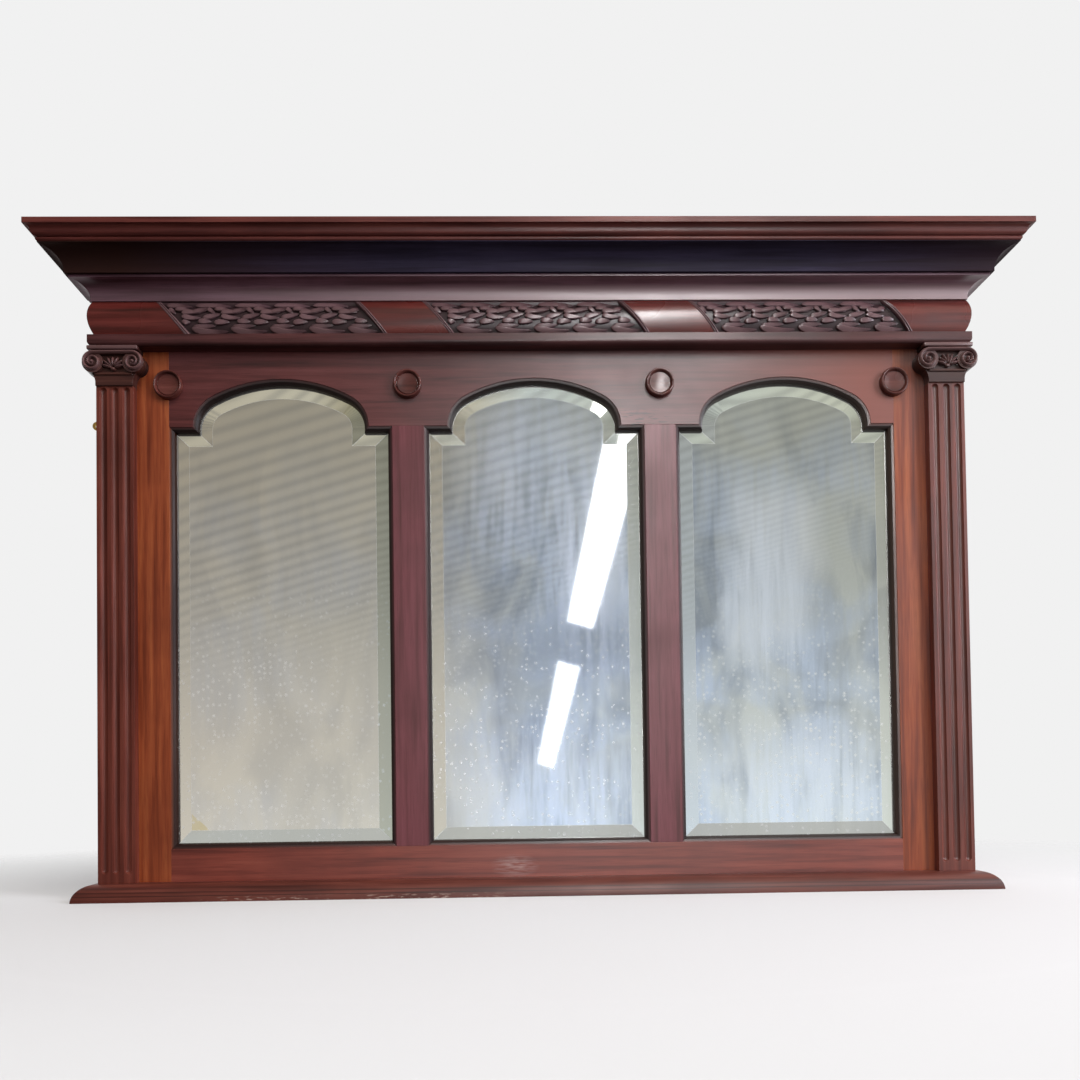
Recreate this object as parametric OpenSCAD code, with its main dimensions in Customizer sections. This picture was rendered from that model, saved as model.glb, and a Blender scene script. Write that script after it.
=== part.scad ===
// Overmantel mirror in mahogany: three bevelled plates with arched, shouldered
// tops between two fluted pilasters, under a carved cushion frieze and a
// mitred cornice.
// X runs along the width, the front faces -Y and Z is up. The origin lies on
// the shelf, under the middle of the bounding box.

/* [Overall] */
// Width of each stile, from the openings to the outer face
stile_w = 102; // [92:1:120]
// Thickness of the stiles, rails and muntins
frame_t = 25; // [24:0.5:32]
// How far the pilasters stand proud of the frame
pilaster_t = 12; // [10:0.5:16]
// Width of each pilaster
pilaster_w = 54.5; // [48:0.5:64]

/* [Heights] */
// Height of the base moulding
base_h = 24; // [18:0.5:34]
// Bottom rail, from the base moulding to the openings
bottom_rail_h = 48; // [40:1:80]
// Openings, from the bottom rail to the shoulders of the arches
opening_h = 631; // [400:1:900]
// Rise of each arch above its shoulders
arch_rise = 72; // [60:1:90]
// Top rail, from the shoulders to the astragal
top_rail_h = 113; // [100:1:150]
// Height of the astragal under the frieze
astragal_h = 17; // [15:0.5:24]
// Height of the cushion frieze
frieze_h = 50; // [44:1:60]
// Height of the bed moulding
bed_h = 26.5; // [24:0.5:34]
// Height of the cove
cove_h = 30; // [28:0.5:36]
// Height of the crown moulding
crown_h = 25.5; // [23:0.5:30]

/* [Openings] */
// Width of each opening at the face of the frame
opening_w = 333; // [310:1:360]
// Width of each muntin at the face of the frame
muntin_w = 47.5; // [44:0.5:60]
// Width of each arch between its shoulders
arch_span = 262.8; // [240:0.2:280]
// Radius of the two tight arcs of each arch
arch_corner_r = 52.2; // [40:0.2:56]
// Radius of the ovolo worked round each opening
ovolo_r = 7.4; // [5:0.1:9]
// Depth of the square step in front of the ovolo
ovolo_step = 1; // [0.5:0.1:2]
// Depth from the face of the frame to the glass rebate
rebate_y = 10.3; // [10:0.1:12]

/* [Glass] */
// Thickness of each plate
glass_t = 5; // [4:0.5:6]
// Width of the bevel
bevel_w = 27; // [20:1:32]
// How much thinner the bevel leaves the edge
bevel_drop = 2.5; // [1.5:0.1:3]
// Play between the edge of a plate and its rebate
glass_play = 0.5; // [0.3:0.1:1]

/* [Backboards] */
// Thickness of the backboards
board_t = 6.5; // [5:0.5:7]
// How far a backboard laps over the frame round its opening
board_lap = 11.5; // [11:0.5:14]
// Play between the edge of a backboard and its rebate
board_play = 0.5; // [0.3:0.1:1]

/* [Mouldings] */
// Projection of the base moulding beyond the pilasters
base_out = 27; // [20:0.5:34]
// Radius of the quarter round of the base moulding
base_r = 24; // [12:0.5:24]
// Projection of the astragal beyond the pilasters
astragal_out = 9; // [8:0.5:12]
// Projection of the cushion frieze beyond the pilasters
frieze_out = 9; // [6:0.5:12]
// Radius of the cushion of the frieze
frieze_r = 50; // [44:1:90]
// Radius of the hollow of the bed moulding
bed_r = 18; // [14:0.5:18]
// Projection of the fillet at the foot of the cove
cove_in = 31; // [29:0.5:34]
// Radius of the hollow of the cove
cove_r = 24; // [20:0.5:24]
// Projection of the cornice beyond the pilasters
crown_out = 68.5; // [66:0.5:74]
// Thickness of the board that closes the cornice on top
dust_board_t = 18; // [12:0.5:20]

/* [Frieze] */
// Length of each carved length of the frieze
carved_w = 300; // [240:1:310]
// How far the joints of the carved lengths lean over their height
carved_lean = 43; // [0:1:60]
// How far the left carved length stands off the middle of its opening
carved_off_left = -6.5; // [-20:0.5:20]
// How far the centre carved length stands off the middle of its opening
carved_off_centre = 5; // [-10:0.5:10]
// How far the right carved length stands off the middle of its opening
carved_off_right = 21.5; // [-20:0.5:28]

/* [Pilasters] */
// Height of each capital, necking included
capital_h = 57; // [52:1:66]
// Width of each capital over its volutes
capital_w = 92; // [84:1:100]
// Radius of each volute
volute_r = 12.5; // [11:0.5:13]
// How far the volutes stand out from the frame
capital_t = 24; // [18:0.5:28]
// Number of flutes
flute_n = 3; // [1:1:3]
// Distance between flutes
flute_pitch = 17; // [13:0.5:18]
// Radius of the gouge that cuts the flutes
flute_r = 5.5; // [4:0.5:6]
// Depth of the flutes
flute_depth = 4; // [2:0.5:4]
// Plain length left under the flutes
flute_foot = 14; // [8:1:40]
// Plain length left above the flutes
flute_head = 1.5; // [1:0.5:20]

/* [Roundels] */
// Diameter of each turned roundel
roundel_d = 43; // [30:1:46]
// Thickness of each roundel at its dome
roundel_t = 8; // [6:0.5:10]
// Height of the roundels above the shoulders of the arches
roundel_rise = 62; // [50:1:70]

/* [Fixings] */
// Thickness of the brass wall plates
plate_t = 2.5; // [2:0.5:3]
// Height of the part of a wall plate on the frame
plate_h = 50; // [40:1:60]
// Width of the part of a wall plate on the frame
plate_w = 18; // [14:1:24]
// Length of the lobe of a wall plate
plate_lobe = 23; // [20:1:28]
// Radius of the end of the lobe
plate_lobe_r = 6.5; // [5:0.5:8]
// Radius of the hole for the wall screw
wall_hole_r = 2.5; // [2:0.1:3]
// Height of the wall plates above the shoulders of the arches
plate_rise = 12; // [-40:1:40]
// How far the left wall plate is set in from the side of the stile
plate_in_left = 0; // [0:1:12]
// How far the right wall plate is set in from the side of the stile
plate_in_right = 9; // [0:1:12]
// Radius of the shank of the wood screws
screw_r = 2; // [1.6:0.1:2.4]
// Radius of the shank of the small screws
small_screw_r = 1.5; // [1.2:0.1:1.6]
// Play round each screw
screw_play = 0.25; // [0.2:0.05:0.3]

/* [Hidden] */
$fn = 64;
// Heights of the joints between the courses
open_z = base_h + bottom_rail_h;
shoulder_z = open_z + opening_h;
apex_z = shoulder_z + arch_rise;
astragal_z = shoulder_z + top_rail_h;
frieze_z = astragal_z + astragal_h;
bed_z = frieze_z + frieze_h;
cove_z = bed_z + bed_h;
crown_z = cove_z + cove_h;
top_z = crown_z + crown_h;
capital_z = astragal_z - capital_h;
// Places across the width
pitch = opening_w + muntin_w;
stile_x = 1.5 * opening_w + muntin_w;
half_w = stile_x + stile_w;
pilaster_x = half_w - pilaster_w / 2;
half_open = opening_w / 2;
carved_x_left = -pitch + carved_off_left;
carved_x_centre = carved_off_centre;
carved_x_right = pitch + carved_off_right;
arch_half = arch_span / 2;
// Three-centred arch: the crown arc meets the two tight arcs in a tangent
corner_x = arch_half - arch_corner_r;
arch_r = (corner_x ^ 2 + arch_rise ^ 2 - arch_corner_r ^ 2)
    / (2 * (arch_rise - arch_corner_r));
arch_zc = apex_z - arch_r;
// Areas of the crown arc and of the right-hand tight arc
crown_area = [
    [-corner_x, shoulder_z], [corner_x, shoulder_z],
    [3 * corner_x, 3 * shoulder_z - 2 * arch_zc],
    [-3 * corner_x, 3 * shoulder_z - 2 * arch_zc]
];
corner_area = [
    [corner_x, shoulder_z], [corner_x + arch_r, shoulder_z],
    [3 * corner_x, 3 * shoulder_z - 2 * arch_zc]
];
// A cut along the tight arc laps over the cuts beside it
cut_lap = 4;
corner_cut_area = [
    [corner_x - cut_lap, shoulder_z - cut_lap],
    [corner_x + arch_r, shoulder_z - cut_lap],
    [3 * corner_x, 3 * shoulder_z - 2 * arch_zc],
    [3 * corner_x - cut_lap, 3 * shoulder_z - 2 * arch_zc]
];
// Depth of the ovolo, and the places of the glass and the backboards
ovolo_y = ovolo_step + ovolo_r;
glass_lap = ovolo_r + glass_play;
glass_y = rebate_y - bevel_drop * (1 - glass_lap / bevel_w) + 0.1;
board_y = glass_y + glass_t + 0.25;
rebate_out = glass_play * 2;
board_out = board_lap + board_play;
// Puts the middle of the depth on the origin
y_shift = (pilaster_t + crown_out - frame_t) / 2;
// Mortise and tenon joints: thickness, distance from the face, lengths
tenon_t = 8;
tenon_y = 1.5;
rail_tenon = 30;
muntin_tenon = 20;
muntin_tenon_w = muntin_w * 2 / 3;
top_tenon_z = shoulder_z + 0.15 * top_rail_h;
top_tenon_h = 0.7 * top_rail_h;
low_tenon_z = 0.3 * open_z;
low_tenon_h = 0.5 * open_z;
backing_h = crown_z - frieze_z;
backing_tenon_z = frieze_z + backing_h / 4;
backing_tenon_h = backing_h / 2;
backing_tenon_y = frame_t - 2 * tenon_t;
// Play at the end of a mortise, and how far a tenon is let into its own rail
mortise_play = 1;
tenon_root = 5;
// Inner part of the crown moulding
crown_in = 48;
plate_z = shoulder_z + plate_rise;
board_screw_out = 6.5;
board_screw_z = [open_z + 40, open_z + opening_h / 2, shoulder_z - 40];
pilaster_screw_z = [open_z + 50, open_z + opening_h / 2, shoulder_z - 20];
cornice_screw_x = [0.2 * stile_x, 0.6 * stile_x, stile_x + stile_w / 2];
plate_screw_len = 14;
board_screw_len = 12;
cornice_screw_len = 42;
mahogany = "#6b3a2c";
pine = "#c79d64";
plate_colour = "#9ea19a";
brass = "#a98646";
steel = "#8c8c88";

// ---------- shared shapes ----------

// Extrudes an outline in X and Z between two depths
module slab(y0, y1) {
    translate([0, y1, 0])
        rotate([90, 0, 0])
            linear_extrude(y1 - y0)
                children();
}

// Middle of an arch, over the centres of its two tight arcs
module arch_middle() {
    translate([-corner_x - 12, shoulder_z - 30])
        square([2 * corner_x + 24, 42]);
}

// Keeps the part of a shape that belongs to one arc of an arch
module arc_area(area) {
    intersection() {
        children();
        slab(-2, frame_t)
            polygon(area);
    }
}

// Arch of an opening, its curves set out by the given distance
module arch_outline(out) {
    for (s = [-1, 1])
        translate([s * corner_x, shoulder_z])
            circle(arch_corner_r + out);
    intersection() {
        translate([0, arch_zc])
            circle(arch_r + out, $fn = 128);
        polygon([
            [0, arch_zc],
            [-2 * corner_x, 2 * shoulder_z - arch_zc],
            [2 * corner_x, 2 * shoulder_z - arch_zc]
        ]);
    }
    arch_middle();
    translate([-arch_half - out, shoulder_z - 40])
        square([arch_span + 2 * out, 40]);
}

// Whole opening, its outline set out by the given distance
module opening_outline(out) {
    arch_outline(out);
    translate([-half_open - out, open_z - out])
        square([opening_w + 2 * out, opening_h + 2 * out]);
}

// Section through an opening, X across it and Y from the face to the back:
// a square step, an ovolo worked as three flats and a square edge on each side
module opening_section(half) {
    difference() {
        translate([-half, -1])
            square([2 * half, rebate_y + 2]);
        for (s = [-1, 1]) {
            translate([s * half, ovolo_y])
                circle(ovolo_r, $fn = 12);
            translate([s * half - ovolo_r, ovolo_y])
                square([2 * ovolo_r, rebate_y]);
        }
    }
}

// Opening with its ovolo on its two sides
module sided_cut(half, z0, z1) {
    translate([0, 0, z1])
        mirror([0, 0, 1])
            linear_extrude(z1 - z0)
                opening_section(half);
}

// Opening with its ovolo on its lower and upper edges
module level_cut(half, z0, z1) {
    translate([-half, 0, (z0 + z1) / 2])
        rotate([90, 0, 90])
            linear_extrude(2 * half)
                mirror([1, -1])
                    opening_section((z1 - z0) / 2);
}

// Opening with its ovolo along a whole circle
module round_cut(x, z, r) {
    translate([x, 0, z])
        rotate([90, 90, 0])
            rotate_extrude($fn = 128)
                mirror([0, 1])
                    intersection() {
                        opening_section(r);
                        translate([0, -1])
                            square([r, rebate_y + 2]);
                    }
}

// Everything cut out of the frame for one opening
module opening_cut(i) {
    translate([i * pitch, 0, 0]) {
        intersection() {
            sided_cut(half_open, open_z, shoulder_z);
            level_cut(half_open, open_z, shoulder_z);
        }
        sided_cut(arch_half, shoulder_z - 60, shoulder_z);
        arc_area(crown_area)
            round_cut(0, arch_zc, arch_r);
        for (s = [0, 1])
            mirror([s, 0, 0])
                arc_area(corner_cut_area)
                    round_cut(corner_x, shoulder_z, arch_corner_r);
        slab(-1, rebate_y + 1)
            arch_middle();
        slab(rebate_y, frame_t + 1)
            opening_outline(rebate_out);
        slab(board_y, frame_t + 1)
            translate([-half_open - board_out, open_z - board_out])
                square([opening_w + 2 * board_out, apex_z - open_z + 2 * board_out]);
    }
}

// Round hole for a screw, along Y
module y_hole(x, z, r, y0, y1) {
    translate([x, y1, z])
        rotate([90, 0, 0])
            cylinder(r = r, h = y1 - y0);
}

// Countersunk wood screw, its head flush at the origin and its shank along -Z
module sunk_screw(r, len, play = 0) {
    translate([0, 0, -len])
        cylinder(r = r + play, h = len);
    translate([0, 0, -r * 1.1])
        cylinder(r1 = r + play, r2 = r * 2.1 + play, h = r * 1.1);
}

// Round-headed screw, the seat of its head at the origin and its shank along -Z
module round_screw(r, len) {
    translate([0, 0, -len])
        cylinder(r = r, h = len + 0.5);
    intersection() {
        translate([0, 0, -r * 0.7])
            sphere(r * 2.1);
        cylinder(r = r * 3, h = r * 3);
    }
}

// Turns a screw so that its head is on the back of the frame
module from_back(x, y, z) {
    translate([x, y, z])
        rotate([-90, 0, 0])
            children();
}

// Front length of a moulding, mitred to its returns
module front_length(out) {
    intersection() {
        translate([-half_w - out, -pilaster_t, 0])
            rotate([90, 0, 90])
                linear_extrude(2 * (half_w + out))
                    mirror([1, 0])
                        children();
        linear_extrude(top_z)
            polygon([
                [-half_w, 0], [-half_w, -pilaster_t],
                [-half_w - out, -pilaster_t - out],
                [half_w + out, -pilaster_t - out],
                [half_w, -pilaster_t], [half_w, 0]
            ]);
    }
}

// Return of a moulding at one side, mitred to the front length
module side_return(side, out) {
    mirror([side < 0 ? 1 : 0, 0, 0])
        intersection() {
            translate([half_w, frame_t, 0])
                rotate([90, 0, 0])
                    linear_extrude(frame_t + pilaster_t + out)
                        children();
            linear_extrude(top_z)
                polygon([
                    [half_w, frame_t], [half_w, -pilaster_t],
                    [half_w + out, -pilaster_t - out],
                    [half_w + out, frame_t]
                ]);
        }
}

// ---------- moulding sections: X is the projection, Y the height ----------

module base_section(inner) {
    translate([inner, 0])
        square([base_out - base_r - inner, base_h]);
    intersection() {
        translate([base_out - base_r, base_h - base_r])
            circle(base_r);
        translate([base_out - base_r, 0])
            square([base_r, base_h]);
    }
}

module astragal_section(inner) {
    foot = 3;
    round_r = astragal_out - foot;
    translate([inner, astragal_z])
        square([foot - inner, astragal_h]);
    translate([inner, astragal_z + round_r])
        square([astragal_out - inner, astragal_h - round_r - 1]);
    intersection() {
        translate([foot, astragal_z + round_r])
            circle(round_r);
        translate([foot, astragal_z])
            square(round_r);
    }
}

module frieze_section(inner) {
    intersection() {
        translate([inner, frieze_z])
            square([frieze_out - inner, frieze_h]);
        translate([frieze_out - frieze_r, frieze_z + frieze_h * 0.54])
            circle(frieze_r, $fn = 96);
    }
}

module bed_section(inner) {
    foot_x = 5.5;
    fillet_h = 3.5;
    hollow_z = bed_z + bed_h - fillet_h - bed_r;
    translate([inner, bed_z])
        square([foot_x - inner, bed_h]);
    difference() {
        translate([foot_x, hollow_z])
            square(bed_r);
        translate([foot_x + bed_r, hollow_z])
            circle(bed_r);
    }
    translate([inner, bed_z + bed_h - fillet_h])
        square([cove_in - 4 - inner, fillet_h]);
}

module cove_section(inner) {
    fillet_h = 5;
    translate([inner, cove_z])
        square([cove_in - inner, cove_h]);
    difference() {
        translate([cove_in, cove_z + fillet_h])
            square([cove_r, cove_h - fillet_h]);
        translate([cove_in + cove_r, cove_z + fillet_h])
            circle(cove_r);
    }
}

module crown_section() {
    bead_r = 3.2;
    lip_h = 8;
    lip_z = top_z - lip_h;
    // Each half of the ogee is a quarter of a circle
    ogee_r = (crown_h - lip_h - 2 * bead_r + 0.4) / 2;
    ogee_x = crown_out - 1.5 - 2 * ogee_r;
    translate([crown_in, crown_z])
        square([ogee_x - crown_in - 2, crown_h]);
    translate([ogee_x - 2, crown_z + bead_r])
        circle(bead_r);
    translate([crown_in, lip_z - 2 * ogee_r])
        square([ogee_x - crown_in, 2 * ogee_r]);
    intersection() {
        translate([ogee_x, lip_z - ogee_r])
            circle(ogee_r);
        translate([ogee_x, lip_z - 2 * ogee_r])
            square(ogee_r);
    }
    difference() {
        translate([ogee_x, lip_z - ogee_r])
            square([2 * ogee_r, ogee_r]);
        translate([ogee_x + 2 * ogee_r, lip_z - ogee_r])
            circle(ogee_r);
    }
    translate([crown_in, lip_z])
        square([crown_out - crown_in, lip_h]);
}

// ---------- frame ----------

// Outline of a stile with the mitres of its ovolo
module stile_outline() {
    polygon([
        [half_w, 0], [half_w, crown_z], [stile_x, crown_z],
        [stile_x, shoulder_z], [stile_x - ovolo_r, shoulder_z - ovolo_r],
        [stile_x - ovolo_r, open_z + ovolo_r], [stile_x, open_z],
        [stile_x, 0]
    ]);
}

// Recess for a wall plate in the back of a stile
module plate_recess(inset) {
    slab(frame_t - plate_t, frame_t + 1)
        translate([half_w - inset, plate_z]) {
            translate([-plate_w - screw_play, -plate_h / 2 - screw_play])
                square([plate_w + 2 * screw_play, plate_h + 2 * screw_play]);
            translate([-1, -plate_lobe_r - screw_play])
                square([plate_lobe, 2 * (plate_lobe_r + screw_play)]);
        }
}

// Screws of a wall plate
module plate_screws(inset, play = 0) {
    for (s = [-1, 1])
        from_back(half_w - inset - plate_w / 2, frame_t, plate_z + s * plate_h * 0.34)
            sunk_screw(small_screw_r, plate_screw_len, play);
}

// Screws that hold one pilaster, from the back of the stile
module pilaster_fixing(play = 0) {
    for (z = pilaster_screw_z)
        for (s = [-1, 1])
            from_back(pilaster_x + s * flute_pitch / 2, frame_t, z)
                sunk_screw(screw_r, frame_t + 6, play);
}

// Screws that hold the backboard of one opening
module board_fixing(i) {
    x = half_open + board_screw_out;
    for (z = board_screw_z)
        for (s = [-1, 1])
            translate([i * pitch + s * x, board_y + board_t, z])
                children();
    for (z = [open_z - board_screw_out, apex_z + board_screw_out])
        translate([i * pitch, board_y + board_t, z])
            children();
}

// Pilot holes of the backboard screws
module board_pilots() {
    for (i = [-1:1])
        board_fixing(i)
            rotate([90, 0, 0])
                cylinder(r = small_screw_r + screw_play, h = board_screw_len + 1);
}

// Screws that hold the board on top of the cornice
module cornice_fixing(play = 0) {
    for (x = cornice_screw_x)
        for (s = [-1, 1])
            translate([s * x, frame_t / 2, crown_z + dust_board_t])
                sunk_screw(screw_r, cornice_screw_len, play);
}

// A stile, built for the right-hand side
module stile(inset) {
    difference() {
        slab(0, frame_t)
            stile_outline();
        opening_cut(1);
        translate([stile_x - 1, tenon_y, top_tenon_z])
            cube([rail_tenon + mortise_play + 1, tenon_t, top_tenon_h]);
        translate([stile_x - 1, tenon_y, low_tenon_z])
            cube([rail_tenon + mortise_play + 1, tenon_t, low_tenon_h]);
        translate([stile_x - 1, backing_tenon_y, backing_tenon_z])
            cube([rail_tenon + mortise_play + 1, tenon_t, backing_tenon_h]);
        plate_recess(inset);
        plate_screws(inset, screw_play);
        pilaster_fixing(screw_play);
        board_pilots();
        cornice_fixing(screw_play);
    }
}

module stile_left() {
    color(mahogany)
        translate([0, y_shift, 0])
            mirror([1, 0, 0])
                stile(plate_in_left);
}

module stile_right() {
    color(mahogany)
        translate([0, y_shift, 0])
            stile(plate_in_right);
}

// Points of a rail's mitred edge along the three openings, left to right
function rail_edge(z, dz) = [
    for (i = [-1:1])
        each [
            [i * pitch - half_open, z],
            [i * pitch - half_open + ovolo_r, z + dz],
            [i * pitch + half_open - ovolo_r, z + dz],
            [i * pitch + half_open, z]
        ]
];

// Tenons at both ends of a rail
module rail_tenons(z, h) {
    for (s = [0, 1])
        mirror([s, 0, 0])
            translate([stile_x - tenon_root, tenon_y, z])
                cube([rail_tenon + tenon_root, tenon_t, h]);
}

module top_rail() {
    color(mahogany)
        translate([0, y_shift, 0])
            difference() {
                union() {
                    difference() {
                        slab(0, frame_t)
                            polygon([
                                each rail_edge(shoulder_z, -ovolo_r),
                                [stile_x, frieze_z], [-stile_x, frieze_z]
                            ]);
                        for (i = [-1:1])
                            opening_cut(i);
                    }
                    rail_tenons(top_tenon_z, top_tenon_h);
                }
                for (s = [-1, 1])
                    translate([
                        s * pitch / 2 - muntin_tenon_w / 2,
                        tenon_y,
                        shoulder_z - 1
                    ])
                        cube([muntin_tenon_w, tenon_t, muntin_tenon + mortise_play + 1]);
                board_pilots();
            }
}

module bottom_rail() {
    color(mahogany)
        translate([0, y_shift, 0])
            difference() {
                union() {
                    difference() {
                        slab(0, frame_t)
                            polygon([
                                each rail_edge(open_z, ovolo_r),
                                [stile_x, 0], [-stile_x, 0]
                            ]);
                        for (i = [-1:1])
                            opening_cut(i);
                    }
                    rail_tenons(low_tenon_z, low_tenon_h);
                }
                for (s = [-1, 1])
                    translate([
                        s * pitch / 2 - muntin_tenon_w / 2,
                        tenon_y,
                        open_z - muntin_tenon - mortise_play
                    ])
                        cube([muntin_tenon_w, tenon_t, muntin_tenon + mortise_play + 1]);
                board_pilots();
            }
}

// A muntin, built for the right-hand side
module muntin() {
    half = muntin_w / 2;
    difference() {
        union() {
            difference() {
                slab(0, frame_t)
                    translate([pitch / 2, 0])
                        polygon([
                            [-half, open_z], [-half - ovolo_r, open_z + ovolo_r],
                            [-half - ovolo_r, shoulder_z - ovolo_r], [-half, shoulder_z],
                            [half, shoulder_z], [half + ovolo_r, shoulder_z - ovolo_r],
                            [half + ovolo_r, open_z + ovolo_r], [half, open_z]
                        ]);
                opening_cut(0);
                opening_cut(1);
            }
            translate([pitch / 2 - muntin_tenon_w / 2, tenon_y, open_z - muntin_tenon])
                cube([muntin_tenon_w, tenon_t, opening_h + 2 * muntin_tenon]);
        }
        board_pilots();
    }
}

module muntin_left() {
    color(mahogany)
        translate([0, y_shift, 0])
            mirror([1, 0, 0])
                muntin();
}

module muntin_right() {
    color(mahogany)
        translate([0, y_shift, 0])
            muntin();
}

module frieze_backing() {
    color(mahogany)
        translate([0, y_shift, 0])
            difference() {
                union() {
                    translate([-stile_x, 0, frieze_z])
                        cube([2 * stile_x, frame_t, backing_h]);
                    translate([-stile_x - rail_tenon, backing_tenon_y, backing_tenon_z])
                        cube([2 * (stile_x + rail_tenon), tenon_t, backing_tenon_h]);
                }
                cornice_fixing(screw_play);
            }
}

// ---------- mouldings ----------

module base_front() {
    color(mahogany)
        translate([0, y_shift, 0])
            front_length(base_out)
                base_section(-pilaster_t);
}

module base_left() {
    color(mahogany)
        translate([0, y_shift, 0])
            side_return(-1, base_out)
                base_section(0);
}

module base_right() {
    color(mahogany)
        translate([0, y_shift, 0])
            side_return(1, base_out)
                base_section(0);
}

module astragal_front() {
    color(mahogany)
        translate([0, y_shift, 0])
            front_length(astragal_out)
                astragal_section(-pilaster_t);
}

module astragal_left() {
    color(mahogany)
        translate([0, y_shift, 0])
            side_return(-1, astragal_out)
                astragal_section(0);
}

module astragal_right() {
    color(mahogany)
        translate([0, y_shift, 0])
            side_return(1, astragal_out)
                astragal_section(0);
}

// Length of the frieze between two leaning joints
module frieze_length(x0, x1, lean0, lean1) {
    translate([0, y_shift, 0])
        intersection() {
            front_length(frieze_out)
                frieze_section(-pilaster_t);
            slab(-pilaster_t - frieze_out - 1, 1)
                polygon([
                    [x0 + lean0 / 2, frieze_z], [x1 + lean1 / 2, frieze_z],
                    [x1 - lean1 / 2, bed_z], [x0 - lean0 / 2, bed_z]
                ]);
        }
}

module frieze_end_left() {
    color(mahogany)
        frieze_length(-half_w - frieze_out - 1, carved_x_left - carved_w / 2,
            0, carved_lean);
}

module frieze_mid_left() {
    color(mahogany)
        frieze_length(carved_x_left + carved_w / 2, carved_x_centre - carved_w / 2,
            carved_lean, carved_lean);
}

module frieze_mid_right() {
    color(mahogany)
        frieze_length(carved_x_centre + carved_w / 2, carved_x_right - carved_w / 2,
            carved_lean, carved_lean);
}

module frieze_end_right() {
    color(mahogany)
        frieze_length(carved_x_right + carved_w / 2, half_w + frieze_out + 1,
            carved_lean, 0);
}

module frieze_return_left() {
    color(mahogany)
        translate([0, y_shift, 0])
            side_return(-1, frieze_out)
                frieze_section(0);
}

module frieze_return_right() {
    color(mahogany)
        translate([0, y_shift, 0])
            side_return(1, frieze_out)
                frieze_section(0);
}

// Carved length of the frieze, as its plain cushion
module carved_length(x) {
    frieze_length(x - carved_w / 2, x + carved_w / 2, carved_lean, carved_lean);
}

module carved_frieze_left() {
    color(mahogany)
        carved_length(carved_x_left);
}

module carved_frieze_centre() {
    color(mahogany)
        carved_length(carved_x_centre);
}

module carved_frieze_right() {
    color(mahogany)
        carved_length(carved_x_right);
}

module bed_front() {
    color(mahogany)
        translate([0, y_shift, 0])
            front_length(cove_in)
                bed_section(-pilaster_t);
}

module bed_left() {
    color(mahogany)
        translate([0, y_shift, 0])
            side_return(-1, cove_in)
                bed_section(0);
}

module bed_right() {
    color(mahogany)
        translate([0, y_shift, 0])
            side_return(1, cove_in)
                bed_section(0);
}

module cove_front() {
    color(mahogany)
        translate([0, y_shift, 0])
            front_length(cove_in + cove_r)
                cove_section(-pilaster_t);
}

module cove_left() {
    color(mahogany)
        translate([0, y_shift, 0])
            side_return(-1, cove_in + cove_r)
                cove_section(0);
}

module cove_right() {
    color(mahogany)
        translate([0, y_shift, 0])
            side_return(1, cove_in + cove_r)
                cove_section(0);
}

module crown_front() {
    color(mahogany)
        translate([0, y_shift, 0])
            front_length(crown_out)
                crown_section();
}

module crown_left() {
    color(mahogany)
        translate([0, y_shift, 0])
            side_return(-1, crown_out)
                crown_section();
}

module crown_right() {
    color(mahogany)
        translate([0, y_shift, 0])
            side_return(1, crown_out)
                crown_section();
}

module dust_board() {
    color(pine)
        translate([0, y_shift, 0])
            difference() {
                translate([-half_w - crown_in, -pilaster_t - crown_in, crown_z])
                    cube([
                        2 * (half_w + crown_in),
                        frame_t + pilaster_t + crown_in,
                        dust_board_t
                    ]);
                cornice_fixing(screw_play);
            }
}

// ---------- pilasters, capitals and roundels ----------

// A pilaster with stopped flutes, built for the right-hand side
module pilaster() {
    flute_z0 = base_h + flute_foot;
    flute_z1 = capital_z - flute_head;
    difference() {
        translate([pilaster_x - pilaster_w / 2, -pilaster_t, base_h])
            cube([pilaster_w, pilaster_t, capital_z - base_h]);
        for (i = [0:flute_n - 1])
            translate([
                pilaster_x + (i - (flute_n - 1) / 2) * flute_pitch,
                -pilaster_t - flute_r + flute_depth,
                flute_z0 + flute_r
            ]) {
                cylinder(r = flute_r, h = flute_z1 - flute_z0 - 2 * flute_r);
                sphere(flute_r);
                translate([0, 0, flute_z1 - flute_z0 - 2 * flute_r])
                    sphere(flute_r);
            }
        pilaster_fixing(screw_play);
    }
}

module pilaster_left() {
    color(mahogany)
        translate([0, y_shift, 0])
            mirror([1, 0, 0])
                pilaster();
}

module pilaster_right() {
    color(mahogany)
        translate([0, y_shift, 0])
            pilaster();
}

// A capital: flared neck, two volutes, cushion and abacus
module capital() {
    eye_x = capital_w / 2 - volute_r;
    eye_z = capital_z + capital_h * 0.55;
    neck_z = eye_z - volute_r - 1;
    translate([pilaster_x, 0, 0]) {
        slab(-pilaster_t - 3, 0)
            polygon([
                [-pilaster_w / 2, capital_z], [pilaster_w / 2, capital_z],
                [pilaster_w / 2, capital_z + 6], [eye_x, neck_z],
                [eye_x, eye_z], [-eye_x, eye_z],
                [-eye_x, neck_z], [-pilaster_w / 2, capital_z + 6]
            ]);
        slab(-capital_t, 0)
            for (s = [-1, 1])
                translate([s * eye_x, eye_z])
                    circle(volute_r);
        slab(-capital_t + 4, 0)
            translate([-eye_x, eye_z - 4])
                square([2 * eye_x, volute_r + 4]);
        slab(-pilaster_t - 7, 0)
            translate([-eye_x - 4, eye_z])
                square([2 * (eye_x + 4), astragal_z - eye_z]);
    }
}

module capital_left() {
    color(mahogany)
        translate([0, y_shift, 0])
            mirror([1, 0, 0])
                capital();
}

module capital_right() {
    color(mahogany)
        translate([0, y_shift, 0])
            capital();
}

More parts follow.
